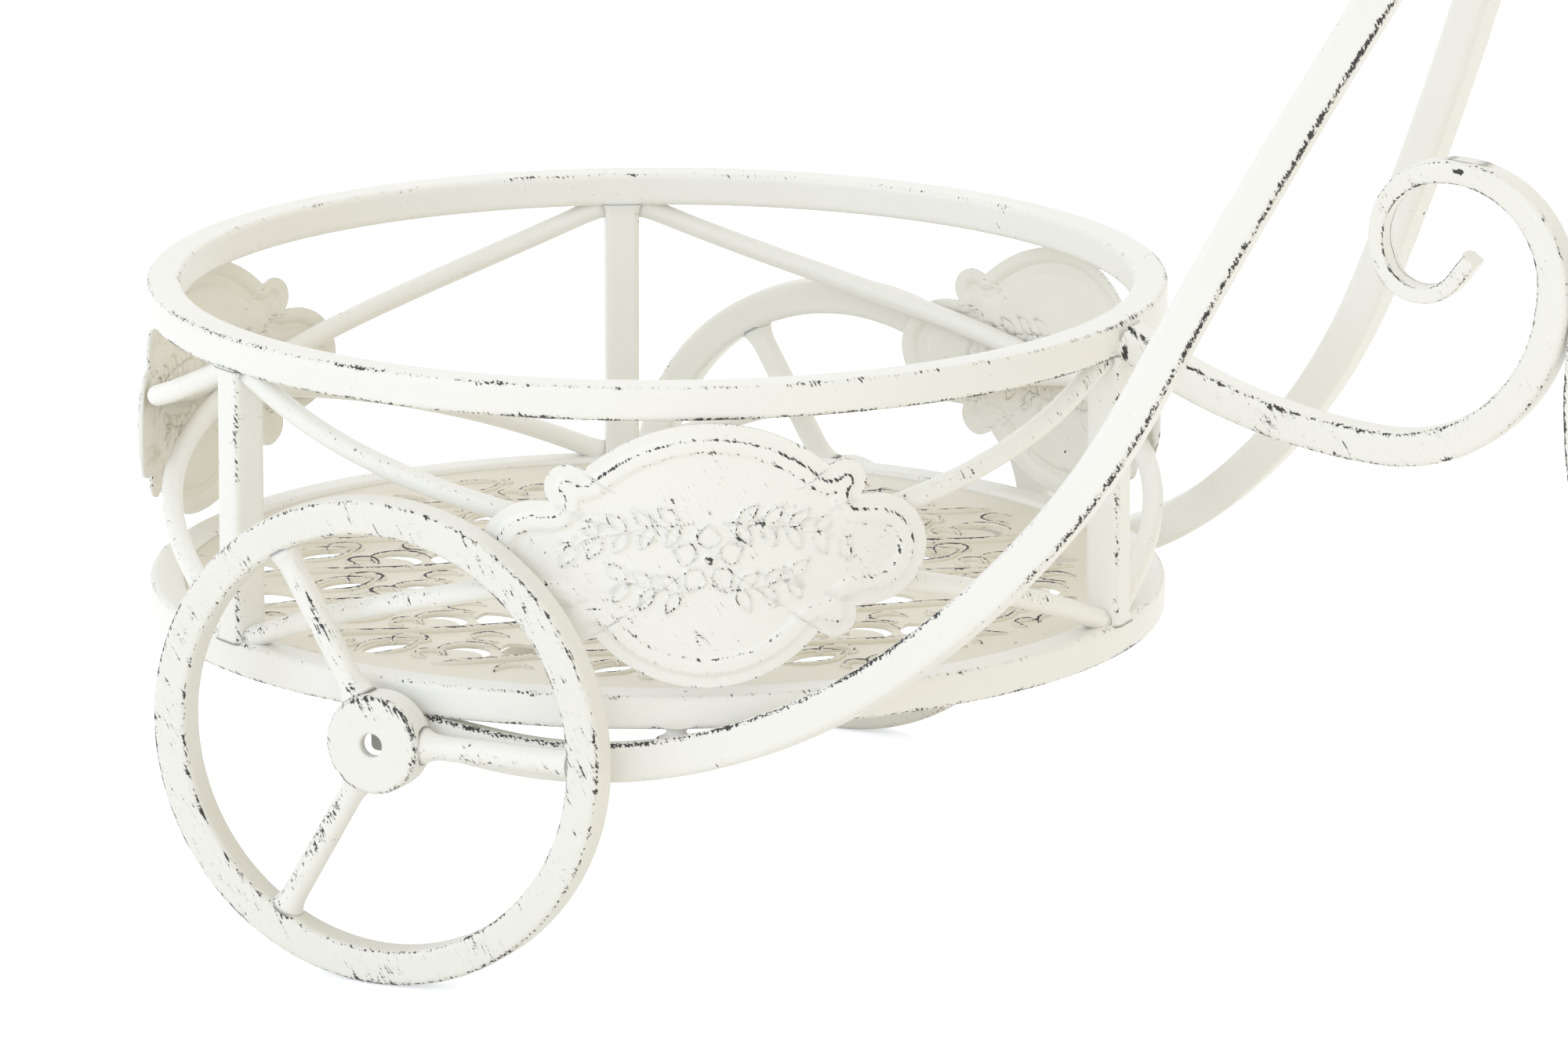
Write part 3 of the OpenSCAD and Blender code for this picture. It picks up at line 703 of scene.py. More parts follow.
@dataclass
class Basket:
    """Two hoops, three posts, six brace rods and the pierced floor."""

    outer_d: float = 290.0
    rod_d: float = 6.0
    rod_gap: float = 0.2
    rod_reach: float = 0.65
    rod_slope: float = 0.65
    rod_steps: int = 44
    bay: float = 120.0
    middle: Vector = field(default_factory=lambda: node_middle("basket_bottom_ring"))
    top_z: float = field(default_factory=lambda: node_middle("basket_top_ring").z)

    def build(self) -> None:
        """Builds and dresses every piece of the basket."""
        for name, z, worn in (("basket_top_ring", self.top_z, (0.7, 0.45, 0.1, 1.0)),
                              ("basket_bottom_ring", self.middle.z, (0.6, 0.3, 0.1, 0.85))):
            ring = hoop(self.outer_d, Axis.Z, 192, BarProfile(rub_corners=worn))
            finish_piece(ring, name + "_bar", BAR_PAINT, [name], Vector((self.middle.x, 0, z)))
        for name, azimuth in (("post_front", 0), ("post_left", self.bay), ("post_right", -self.bay)):
            self.post(name, azimuth)
        for bay, azimuth in (("right", -self.bay / 2), ("left", self.bay / 2), ("rear", 180.0)):
            for kind, rise in (("rising", 1), ("falling", -1)):
                self.brace(f"brace_{bay}_{kind}", azimuth, rise)
        # The floor keeps its CAD plate, and the stamped ridges lie on it.
        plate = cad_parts["basket_floor"]
        plate.data.materials.clear()
        plate.data.materials.append(paint(FLOOR_WITH_PAINTED_SHADE))
        FloorRelief().build()

    def post(self, name: str, azimuth: float) -> None:
        """Square post between the hoops, with a weld fillet at each end.

        Args:
            name: Its CAD node.
            azimuth: Its place round the basket, in degrees from the front.
        """
        mid_r, a = self.outer_d / 2 - BAR / 2, math.radians(azimuth)
        foot = Vector((mid_r * math.cos(a), mid_r * math.sin(a), 0))
        low, high = self.middle.z + BAR / 2 - SINK, self.top_z - BAR / 2 + SINK
        ends = foot + Vector((0, 0, low)), foot + Vector((0, 0, high))
        bm = sweep(BarProfile(rub_corners=(0.7, 0.7, 0.2, 0.2)), straight(ends, 4.0, 1.0, 1.0),
                   Vector((foot.y, -foot.x, 0)).normalized())
        finish_piece(bm, name + "_bar", BAR_PAINT, [name], Vector((self.middle.x, 0, 0)))

    def brace(self, name: str, azimuth: float, rise: int) -> None:
        """One rod of the two that cross in a bay as long S curves.

        Args:
            name: Its CAD node.
            azimuth: Middle of its bay, in degrees from the front.
            rise: 1 for the rod that rises with the angle and passes outside, -1 for the other.
        """
        mid_r, rod_r = self.outer_d / 2 - BAR / 2, self.rod_d / 2
        low, high = self.middle.z + BAR / 2, self.top_z - BAR / 2
        reach = (high - low) / 2 + self.rod_reach * rod_r
        end = 1 - math.degrees(math.asin((BAR / 2 - ROD_SINK) / (mid_r - rod_r))) / (self.bay / 2)
        points = []
        for k in range(-self.rod_steps, self.rod_steps + 1):
            t = end * k / self.rod_steps
            a = math.radians(azimuth + t * self.bay / 2)
            r = mid_r + rise * (self.rod_d + self.rod_gap) / 2 * (1 - t * t) ** 2
            z = (low + high) / 2 + rise * reach * t * (self.rod_slope + (1 - self.rod_slope) * t * t)
            points.append(Vector((r * math.cos(a), r * math.sin(a), z)))
        stations = flared(list(zip(points, headings(points))), 9.0, 1.0, 1.0, rod_r)
        bm = sweep(RodProfile(width=self.rod_d, rub_most=0.5, rub_at=60.0), stations, Vector((0, 0, 1)))
        finish_piece(bm, name + "_rod", ROD_PAINT, [name], Vector((self.middle.x, 0, 0)))


@dataclass
class FloorRelief:
    """Stamped ridges, curls and leaf outlines on the pierced floor plate.

    A wave is (swing, period, bead's width). A curl is (place across, place up, radius, first angle,
    last angle, bead's width), and a leaf is (turn, half length, half width, bead's width).
    """

    cell: tuple = (57.0, 36.0)
    turn: float = 37.0
    pattern_r: float = 123.0
    wave: tuple = (1.2, 9.0, 3.2)
    curls: tuple = ((31.5, 8.0, 6.0, 200, -60, 2.6), (33.0, -8.5, 5.0, -20, 250, 2.6),
                    (52.5, 4.5, 6.5, 20, 300, 2.6), (12.0, 9.5, 4.6, 150, 420, 2.3),
                    (43.0, -8.0, 10.6, 10, 190, 2.2))
    leaf_at: tuple = (23.0, 3.0)
    leaf: tuple = (28.0, 11.5, 6.2, 2.2)

    def build(self) -> bpy.types.Object:
        """Sweeps a low half-round bead along each line of the pattern.

        Returns:
            The relief as one piece.
        """
        whole = empty_mesh()
        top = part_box("basket_floor")[1].z / MM
        for line, width in self.lines():
            for run in self.inside(line):
                add_to(whole, self.bead(run, width))
        turn_mesh(whole, self.turn, "Z")
        return finish_piece(whole, "basket_floor_relief", FLOOR_WITH_PAINTED_SHADE, (),
                            Vector((node_middle("basket_bottom_ring").x, 0, top)))

    def lines(self) -> list[tuple[list[Vector], float]]:
        """The pattern's lines in the plate's own frame, each with its bead's width."""
        made = []
        wide, high = self.cell
        swing, period, wave_w = self.wave
        for j in range(-4, 4):
            v = high * j + high / 2
            line = [Vector((u, v + swing * math.sin(u / period), 0)) for u in range(-122, 123, 4)]
            made.append((line, wave_w))
        turn, reach, bow, leaf_w = self.leaf
        for base in [Vector((wide * i, high * j, 0)) for i in range(-3, 4) for j in range(-4, 5)]:
            for across, up, r, start, end, width in self.curls:
                made.append((self.curl(base + Vector((across, up, 0)), r, start, end), width))
            for side in (1, -1):
                made.append((self.almond(base + Vector((*self.leaf_at, 0)), turn, reach, bow * side), leaf_w))
        return made

    @staticmethod
    def curl(centre: Vector, r: float, start: float, end: float) -> list[Vector]:
        """A hook from one angle to another, which tightens to two thirds of its radius."""
        made = []
        for t in (k / 11 for k in range(12)):
            a = math.radians(start + (end - start) * t)
            made.append(centre + Vector((math.cos(a), math.sin(a), 0)) * r * (1 - 0.38 * t))
        return made

    @staticmethod
    def almond(centre: Vector, turn: float, reach: float, bow: float) -> list[Vector]:
        """One side of a leaf's outline."""
        lean = Matrix.Rotation(math.radians(turn), 3, "Z")
        shares = [k / 5 for k in range(-5, 6)]
        return [centre + lean @ Vector((reach * t, bow * (1 - t * t), 0)) for t in shares]

    def inside(self, line: list[Vector]) -> list[list[Vector]]:
        """Runs of a line, of four points or more, that lie inside the plate's plain rim."""
        runs = [[]]
        for p in line:
            if p.length < self.pattern_r:
                runs[-1].append(p)
            else:
                runs.append([])
        return [run for run in runs if len(run) > 3]

    @staticmethod
    def bead(run: list[Vector], width: float) -> BMesh:
        """A bead with faded ends along a run."""
        last = len(run) - 1
        stations = []
        for k, (p, way) in enumerate(zip(run, headings(run))):
            fade = 0.35 + 0.65 * min(1.0, k / 2, (last - k) / 2)
            stations.append(Station(p, way, 0.9 * fade, fade))
        return sweep(RodProfile(width=width, sides=8, rub_at=0.0, rub_most=1.0), stations, Vector((0, 0, 1)))


# Plaques


@dataclass
class Plaque:
    """A pressed sheet with shallow arches, lobed corners, a raised border and a sprig of leaves.

    An arch is (radius, half width), and a lobe is (place across, place up, radius). A spray is
    (height at its root, bow, reach).
    """

    name: str
    azimuth: float
    face_r: float = 147.5
    thickness: float = 1.1
    width: float = 123.0
    height: float = 74.0
    side_lobe_r: float = 15.5
    side_lobe_rise: float = -0.6
    top_arch: tuple = (50.0, 36.0)
    bottom_arch: tuple = (40.0, 34.0)
    lobes: tuple = ((38.0, 19.1, 6.2), (35.5, -18.5, 6.0))
    border_inset: float = 3.6
    border_w: float = 4.8
    border_h: float = 1.0
    sprig_h: float = 0.9
    sprays: tuple = ((9.5, -0.006, 39.0), (-9.5, 0.010, 27.0))
    outline_points: int = 2400
    turns: int = 336

    def __post_init__(self) -> None:
        """Marks points along the outline, for true distances from it."""
        self.outline = KDTree(self.outline_points)
        for k in range(self.outline_points):
            angle = math.tau * k / self.outline_points
            r = self.edge_at(angle)
            self.outline.insert((r * math.cos(angle), r * math.sin(angle), 0), k)
        self.outline.balance()

    def depth(self, x: float, z: float) -> float:
        """Distance of a point inside the outline, negative outside."""
        x, side_x = abs(x), self.width / 2 - self.side_lobe_r
        (top_r, top_w), (low_r, low_w) = self.top_arch, self.bottom_arch
        shapes = [
            min(top_r - math.hypot(x, z - self.height / 2 + top_r), top_w - x, z + 4),
            min(low_r - math.hypot(x, z + self.height / 2 - low_r), low_w - x, 4 - z),
            min(side_x - x, self.side_lobe_r - abs(z - self.side_lobe_rise)),
            self.side_lobe_r - math.hypot(x - side_x, z - self.side_lobe_rise)]
        return max(shapes + [r - math.hypot(x - across, z - up) for across, up, r in self.lobes])

    def edge_at(self, angle: float) -> float:
        """Distance from the middle to the outline in a direction, by steps inwards and then by halving."""
        c, s = math.cos(angle), math.sin(angle)
        low, high, step = 20.0, 75.0, 0.5
        a = high
        while a > low and self.depth(a * c, a * s) < 0:
            a -= step
        b = a + step
        for _ in range(12):
            middle = (a + b) / 2
            if self.depth(middle * c, middle * s) < 0:
                b = middle
            else:
                a = middle
        return a

    def relief(self, x: float, z: float) -> tuple[float, float]:
        """Height of the face and share of wear at a point.

        Args:
            x: Distance across from the middle.
            z: Height above the middle.

        Returns:
            Height in millimetres and wear from 0 to 1.
        """
        into = self.outline.find((x, z, 0))[2] - self.border_inset
        past = into - self.border_w
        height = self.border_h * smooth(into, -1.0, 1.0) * (1 - smooth(past, -1.4, 0.8))
        upper = 0.45 + 0.55 * smooth(z, -14.0, 8.0)
        upper *= 1.0 + 0.15 * smooth(-x, -5.0, 25.0) - 0.35 * smooth(-x, 34.0, 50.0)
        outer_line = upper * math.exp(-((into - 0.7) / 0.62) ** 2)
        inner_line = 0.7 * math.exp(-((past + 0.5) / 0.65) ** 2)
        panel = past - 1.6
        leaf = self.sprig(x, z) * smooth(panel, 0.0, 1.5) if panel > 0 else 0.0
        rub = max(outer_line, inner_line, 0.8 * smooth(leaf, 0.5, 0.9), 0.28 if panel > 0 else 0.05)
        return height + self.sprig_h * leaf, rub

    def sprig(self, x: float, z: float) -> float:
        """Height share of a plain flower with five petals between two arched sprays of leaves."""
        best = max(0.0, 1 - (math.hypot(x, z + 1) / 2.6) ** 2)
        for k in range(5):
            best = max(best, petal(x, z + 1, (0, 0), 90 + 72 * k, 3.4, 10.0, 3.1))
        x = abs(x)
        for rise, bow, reach in self.sprays:
            if 4 < x < reach:
                best = max(best, 0.85 * (1 - ((z - rise - bow * (x - 4) ** 2) / 0.8) ** 2))
            for at in range(8, int(reach), 7):
                foot = (float(at), rise + bow * (at - 4) ** 2)
                for angle in (38, -62):
                    best = max(best, petal(x, z, foot, angle, 0.3, 7.4, 1.7))
        return max(0.0, best)

    def build(self) -> bpy.types.Object:
        """Builds the sheet as a disc of rays that is pressed, cut to the outline and rolled.

        Returns:
            The plaque.
        """
        bm = empty_mesh()
        rub = layers(bm)[0]
        shares = [0.70 * k / 62 for k in range(63)] + [0.70 + 0.30 * k / 40 for k in range(1, 41)]
        verts = [bm.verts.new((s, 0, 0)) for s in shares]
        for a, b in zip(verts, verts[1:]):
            bm.edges.new((a, b))
        full_spin(bm, self.turns)
        bmesh.ops.remove_doubles(bm, verts=bm.verts[:], dist=1e-5)
        edges: dict[int, float] = {}
        for v in bm.verts:
            angle = math.atan2(v.co.y, v.co.x)
            key = round(angle * self.turns / math.tau)
            if key not in edges:
                edges[key] = self.edge_at(angle)
            share = math.hypot(v.co.x, v.co.y)
            x, z = share * edges[key] * math.cos(angle), share * edges[key] * math.sin(angle)
            height, wear = self.relief(x, z)
            v[rub] = max(wear, 0.5 * smooth(share, 0.975, 1.0))
            turn = math.asin(max(-1.0, min(1.0, x / self.face_r)))
            r = self.face_r + height
            v.co = (r * math.cos(turn), r * math.sin(turn), z)
        face_out(bm, 0)
        turn_mesh(bm, self.azimuth, "Z")
        low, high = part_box(self.name)
        finish = replace(SHEET_PAINT, name=f"{SHEET_PAINT.name}_{self.name}", facing=self.azimuth)
        piece = finish_piece(bm, self.name + "_sheet", finish, [self.name],
                             Vector((node_middle("basket_bottom_ring").x, 0, (low.z + high.z) / 2 / MM)))
        piece.data.materials.append(paint(SHEET_BACK_WITH_PAINTED_SHADE))
        add_wall(piece, self.thickness).material_offset = 1
        return piece


def petal(x: float, z: float, foot: tuple, angle: float, start: float, length: float, half: float) -> float:
    """Height share of one almond-shaped petal or leaf, whose outline stands up as a ridge.

    Args:
        x: Point across.
        z: Point up.
        foot: Point that the petal grows from.
        angle: Its direction in degrees.
        start: Distance from the foot to where it begins.
        length: Distance from the foot to its tip.
        half: Its greatest half width.

    Returns:
        Height from 0 to 1.
    """
    c, s = math.cos(math.radians(angle)), math.sin(math.radians(angle))
    along = (x - foot[0]) * c + (z - foot[1]) * s
    across = abs(-(x - foot[0]) * s + (z - foot[1]) * c)
    t = (along - start) / (length - start)
    if not 0 < t < 1:
        return 0.0
    wide = half * math.sin(math.pi * t ** 0.8)
    inner = 0.4 * (1 - min(1.0, across / max(wide, 0.01)) ** 2)
    return max(inner, math.exp(-((across - wide) / 0.55) ** 2))


# Wheels


@dataclass
class RearWheel:
    """Small wheel: a square-bar rim, a drilled hub and three round spokes."""

    side: Side
    rim_d: float = 137.0
    hub_d: float = 28.0
    hub_t: float = 10.5
    bore_d: float = 6.5
    face_t: float = 3.0
    hollow_d: float = 19.6
    spoke_d: float = 7.0
    spoke_count: int = 3

    def build(self) -> None:
        """Builds the rim, hub and spokes."""
        end = self.side.name.lower()
        rim, hub = node_middle("rear_rim_" + end), node_middle("rear_hub_" + end)
        right = self.side is Side.RIGHT
        face = BarProfile(rub_corners=(0.95, 0.85, 0.1, 0.35) if right else (0.35, 0.1, 0.85, 0.95),
                          rub_faces=(0.0, 0.36, 0.0, 0.0) if right else (0.0, 0.0, 0.0, 0.36))
        ring = hoop(self.rim_d, Axis.Y, 144, face)
        finish_piece(ring, f"rear_rim_{end}_bar", RIM_WITH_PAINTED_SHADE, ["rear_rim_" + end], rim)
        disc = self.hub()
        add_to(disc, self.boss())
        finish_piece(disc, f"rear_hub_{end}_disc", HUB_WITH_PAINTED_SHADE, ["rear_hub_" + end], hub)
        angles = [math.tau * k / self.spoke_count for k in range(self.spoke_count)]
        worn = RodProfile(width=self.spoke_d, rub_at=200.0 if right else 0.0)
        rods = spokes(angles, worn, self.hub_d / 2, self.rim_d / 2 - BAR, 6.5, 2.0)
        finish_piece(rods, f"rear_spokes_{end}_rods", ROD_PAINT, ["rear_spokes_" + end], rim)

    def hub(self) -> BMesh:
        """A turned cup, open behind, with a drilled face that is rubbed round its edge and its bore.

        Returns:
            The cup, its face outboard.
        """
        r, half, bore, hollow = self.hub_d / 2, self.hub_t / 2, self.bore_d / 2, self.hollow_d / 2
        out = -self.side.value

        def rub(radius: float, height: float) -> float:
            """Wear near the face's edge and a faint ring round the bore."""
            if height * out < half - 1.8 or radius < bore + 0.2:
                return 0.0
            edge = math.hypot(r - radius, half - abs(height))
            ring = 0.4 * (1 - smooth(abs(radius - bore - 1.2), 0.2, 1.2))
            return max(1 - smooth(edge, 0.7, 2.6), ring, 0.22)

        inner = half - self.face_t
        points = [(bore, half), (r, half), (r, -half), (hollow, -half), (hollow, inner), (bore, inner)]
        return spun([(radius, out * h) for radius, h in points], Axis.Y, 96,
                    [(0, 0.9), (1, 1.7), (2, 1.2), (3, 0.6)], rub)

    def boss(self) -> BMesh:
        """The block inside the cup that the axle bar's end is welded to, clear of the bore.

        Returns:
            A rounded segment of a disc, ahead of the bore.
        """
        bm = empty_mesh()
        bmesh.ops.create_circle(bm, cap_ends=True, segments=72, radius=self.hollow_d / 2 + 0.4)
        bmesh.ops.bisect_plane(bm, geom=bm.verts[:] + bm.edges[:] + bm.faces[:],
                               plane_co=(self.bore_d / 2 + 0.3, 0, 0), plane_no=(1, 0, 0), clear_inner=True)
        lifted = bmesh.ops.extrude_face_region(bm, geom=bm.faces[:])["geom"]
        depth = self.hub_t - self.face_t + 0.3
        tops = [v for v in lifted if isinstance(v, bmesh.types.BMVert)]
        bmesh.ops.translate(bm, verts=tops, vec=(0, 0, depth))
        bmesh.ops.translate(bm, verts=bm.verts[:], vec=(0, 0, -self.hub_t / 2))
        turn_mesh(bm, 90 if self.side is Side.RIGHT else -90, "X")
        bmesh.ops.recalc_face_normals(bm, faces=bm.faces[:])
        return bm


@dataclass
class FrontWheel:
    """Large wheel: a square-bar rim, a solid hub and six round spokes."""

    rim_d: float = 324.9
    hub_d: float = 36.0
    hub_t: float = 16.0
    spoke_d: float = 7.0
    spoke_count: int = 6

    def build(self) -> None:
        """Builds the rim, hub and spokes."""
        middle = node_middle("front_rim")
        finish_piece(hoop(self.rim_d, Axis.Y, 224), "front_rim_bar", BAR_PAINT, ["front_rim"], middle)
        r, half = self.hub_d / 2, self.hub_t / 2

        def rub(radius: float, height: float) -> float:
            """Wear near the faces' edges."""
            return 1 - smooth(math.hypot(r - radius, half - abs(height)), 1.0, 3.6)

        points = [(0, -half), (r, -half), (r, half), (0, half)]
        hub = spun(points, Axis.Y, 112, [(1, 1.7), (2, 1.7)], rub, False)
        finish_piece(hub, "front_hub_disc", HUB_WITH_PAINTED_SHADE, ["front_hub"], middle)
        angles = [math.tau * (k + 0.5) / self.spoke_count for k in range(self.spoke_count)]
        rods = spokes(angles, RodProfile(width=self.spoke_d), r, self.rim_d / 2 - BAR, 7.0, 1.8)
        finish_piece(rods, "front_spokes_rods", ROD_PAINT, ["front_spokes"], middle)


# Frame bars


@dataclass
class Frame:
    """Axle bar, arms, struts, scroll and cross bar.

    The curl is (first radius, its ratio from bend to bend, first turn, its ratio). The taper is where
    along the scroll it begins and ends, and the tip is (thickness, width).
    """

    arm_bar: float = 11.0
    arm_corner: float = 2.0
    arm_lean: float = 0.2
    arm_sink: float = 0.4
    arm_inboard: float = 11.5
    arm_dip: float = -8.0
    arm_step: float = 5.0
    arm_pieces: tuple = ((24.5, 0.0, 0.0, 0.11), arc(144, 45.5, 0.11, 0.37), arc(202, 27.5, 0.37, 0.21),
                         (118.0, 0.0, 0.21, 0.49))
    head_height: float = 46.0
    head_overhang: float = 12.0
    head_slope: float = 15.0
    head_pull: float = 0.38
    head_gap: float = 0.2
    head_steps: int = 30
    wear_from: float = -105.0
    wear_to: float = -50.0
    wear_least: float = 0.3
    strut_d: float = 5.0
    strut_sink: float = 1.6
    scroll_dip: float = -30.4
    scroll_neck: tuple = (169.0, 27.7)
    curl: tuple = (48.2, 0.633, 95.2, 1.06)
    curl_bends: int = 4
    tip_l: float = 8.0
    taper: tuple = (155.0, 240.0)
    tip: tuple = (4.8, 8.5)

    def build(self) -> None:
        """Builds the frame's bars."""
        self.tube("axle_bar", BarProfile(rub_corners=(0.3,) * 4), 0.0)
        points = self.arm_points()
        for side in Side:
            self.arm(side, points)
        for side in Side:
            self.strut("strut_" + side.name.lower())
        self.scroll()
        self.tube("cross_bar", BarProfile(), 0.3)

    @staticmethod
    def tube(node: str, profile: BarProfile, flare: float) -> None:
        """A square bar that lies across the planter.

        Args:
            node: Its CAD node.
            profile: Its section.
            flare: Extra half width at its ends.
        """
        bm = sweep(profile, straight(node_line(node, 1), 4.0, flare, flare), Vector((1, 0, 0)))
        finish_piece(bm, node + "_tube", BAR_PAINT, [node])

    def arm_points(self) -> Line:
        """Points of the left arm from the axle to the stem, where a cubic curve ends it."""
        axle, wheel = node_middle("axle_bar"), node_middle("front_rim")
        start = (axle.x + BAR / 2 - self.arm_sink, node_middle("rear_rim_left").y - self.arm_inboard, axle.z,
                 self.arm_dip, 0.0)
        points = walk(start, self.arm_pieces, self.arm_step)
        last, way = points[-1]
        up, over = CROWN_AT + self.head_height, self.head_overhang
        lean, slope = math.radians(RAKE), math.radians(self.head_slope)
        end = Vector((wheel.x - up * math.sin(lean) + over * math.cos(lean),
                      STEM_R + self.head_gap + self.arm_bar / 2,
                      wheel.z + up * math.cos(lean) + over * math.sin(lean)))
        pull = self.head_pull * (end - last).length
        control = [last, last + way * pull, end - pull * Vector((math.cos(slope), 0, math.sin(slope))), end]
        for k in range(1, self.head_steps + 1):
            line = control
            while len(line) > 2:
                line = [a.lerp(b, k / self.head_steps) for a, b in zip(line, line[1:])]
            points.append((line[0].lerp(line[1], k / self.head_steps), (line[1] - line[0]).normalized()))
        return points

    def arm(self, side: Side, points: Line) -> None:
        """One long arm, whose faces lean until its head.

        Args:
            side: The arm's side.
            points: Points of the left arm; the right one mirrors them.
        """
        first = len(points) - 1 - self.head_steps
        flip = Vector((1, side.value, 1))
        stations = []
        for i, (p, way) in enumerate(points):
            lean = self.arm_lean * (1 - max(0, i - first) / self.head_steps)
            stations.append(Station(p * flip, way * flip, hint=Vector((lean, side.value, lean))))
        section = BarProfile(self.arm_bar, self.arm_bar, self.arm_corner, rub_width=2.0,
                             rub_corners=(1.05, 0.15, 0.15, 1.05))
        bm = sweep(section, stations, rounded=1.2)
        rub, place = layers(bm)
        # The upper edge is worn where the arm lies low, and the lower edge where it rises.
        for v in bm.verts:
            risen = smooth(v.co.x, self.wear_from, self.wear_to)
            kept = risen if v[place].y * side.value < 0 else 1 - risen
            v[rub] *= self.wear_least + (1 - self.wear_least) * kept
        name = "arm_" + side.name.lower()
        finish_piece(bm, name + "_bar", ARM_PAINT, [name])

    def strut(self, node: str) -> None:
        """Waisted pin between an arm and the lower hoop."""
        a, b = node_line(node, 2, self.strut_sink)
        points = [(a + (b - a) * k / 8, Vector((0, 0, 1))) for k in range(9)]
        stations = flared(points, 2.6, 3.0, 3.0, self.strut_d / 2)
        finish_piece(sweep(RodProfile(width=self.strut_d), stations, Vector((1, 0, 0))), node + "_pin",
                     ROD_PAINT, [node])

    def scroll(self) -> None:
        """The bar that dips from the basket's front and curls up to a thin tip."""
        ring = node_middle("basket_top_ring")
        start = (ring.x + Basket.outer_d / 2, 0.0, ring.z, self.scroll_dip, 0.0)
        radius, ratio, turn, turn_ratio = self.curl
        bends = [arc(radius * ratio ** k, turn * turn_ratio ** k) for k in range(self.curl_bends)]
        points = walk(start, [arc(*self.scroll_neck), *bends, (self.tip_l, 0, 0, 0)], 3.0)
        run, stations = 0.0, []
        for i, (p, way) in enumerate(points):
            run += (p - points[i - 1][0]).length if i else 0.0
            t = min(1.0, max(0.0, (run - self.taper[0]) / (self.taper[1] - self.taper[0])))
            stations.append(Station(p, way, 1 + t * (self.tip[1] / BAR - 1), 1 + t * (self.tip[0] / BAR - 1)))
        section = BarProfile(corner=2.0, rub_corners=(0.8, 0.95, 0.7, 0.6), rub_faces=(0.0, 0.0, 0.2, 0.0))
        finish_piece(sweep(section, stations, rounded=1.7), "scroll_bar", BAR_PAINT, ["scroll"])


# Steering and saddle


@dataclass
class Steering:
    """Fork legs, crown, stem and handlebar, drawn upright and leaned back as one."""

    leg_y: float = 13.0
    leg_foot: float = 14.0
    stem_l: float = 126.0
    handlebar_d: float = 12.0
    half_bar: tuple = ((34.0, 0, 0, 0), arc(42.0, 62), (52.0, 0, 0, 0), arc(13.0, -235))
    grip_lift: float = 10.0
    grip_sink: float = 0.3

    @staticmethod
    def placed(bm: BMesh, name: str, finish: RubbedPaint, node: str) -> None:
        """Leans a mesh back about the front hub and finishes it."""
        turn_mesh(bm, -RAKE, "Y")
        finish_piece(bm, name, finish, [node], node_middle("front_rim"))

    def build(self) -> None:
        """Builds the fork, stem and handlebar."""
        for side in Side:
            node, y = "fork_leg_" + side.name.lower(), side.value * self.leg_y
            ends = Vector((0, y, -self.leg_foot)), Vector((0, y, CROWN_AT - BAR / 2 + ROD_SINK))
            self.placed(sweep(BarProfile(), straight(ends, 4.0, 0.0, 0.8), rounded=1.6), node + "_bar",
                        BAR_PAINT, node)
        half = self.leg_y + BAR / 2
        ends = Vector((0, -half, CROWN_AT)), Vector((0, half, CROWN_AT))
        bm = sweep(BarProfile(), straight(ends, 3.0), Vector((1, 0, 0)), rounded=1.5)
        self.placed(bm, "fork_crown_bar", BAR_PAINT, "fork_crown")
        self.stem()
        self.handlebar()

    def stem(self) -> None:
        """Round tube with a weld fillet at the crown."""
        low, r = CROWN_AT + BAR / 2 - ROD_SINK, STEM_R
        top = low + ROD_SINK + self.stem_l

        def rub(radius: float, height: float) -> float:
            """Wear round the upper edge."""
            return max(0.12, 1 - smooth(math.hypot(r - radius, top - height), 0.8, 3.0))

        points = [(0, low), (r + 1.2, low), (r + 0.3, low + 1.4), (r, low + 3.2), (r, top), (0, top)]
        self.placed(spun(points, Axis.Z, 64, [(4, 1.4)], rub, False), "stem_tube", ROD_PAINT, "stem")

    def handlebar(self) -> None:
        """Swept-back round bar whose ends curl in."""
        half = walk((0, 0, 0, 0, 0), self.half_bar, 4.0)
        flip = Vector((-1, 1, 1))
        points = [(p * flip, (way * flip) * -1) for p, way in reversed(half[1:])] + half
        stations = [Station(p, way) for p, way in points]
        bm = sweep(RodProfile(width=self.handlebar_d, sides=24), stations, rounded=3.0)
        for degrees, axis in ((90, "X"), (-90, "Z"), (RAKE + self.grip_lift, "Y")):
            turn_mesh(bm, degrees, axis)
        at = CROWN_AT + BAR / 2 + self.stem_l + self.handlebar_d / 2 - self.grip_sink
        bmesh.ops.translate(bm, verts=bm.verts[:], vec=(0, 0, at))
        self.placed(bm, "handlebar_rod", ROD_PAINT, "handlebar")


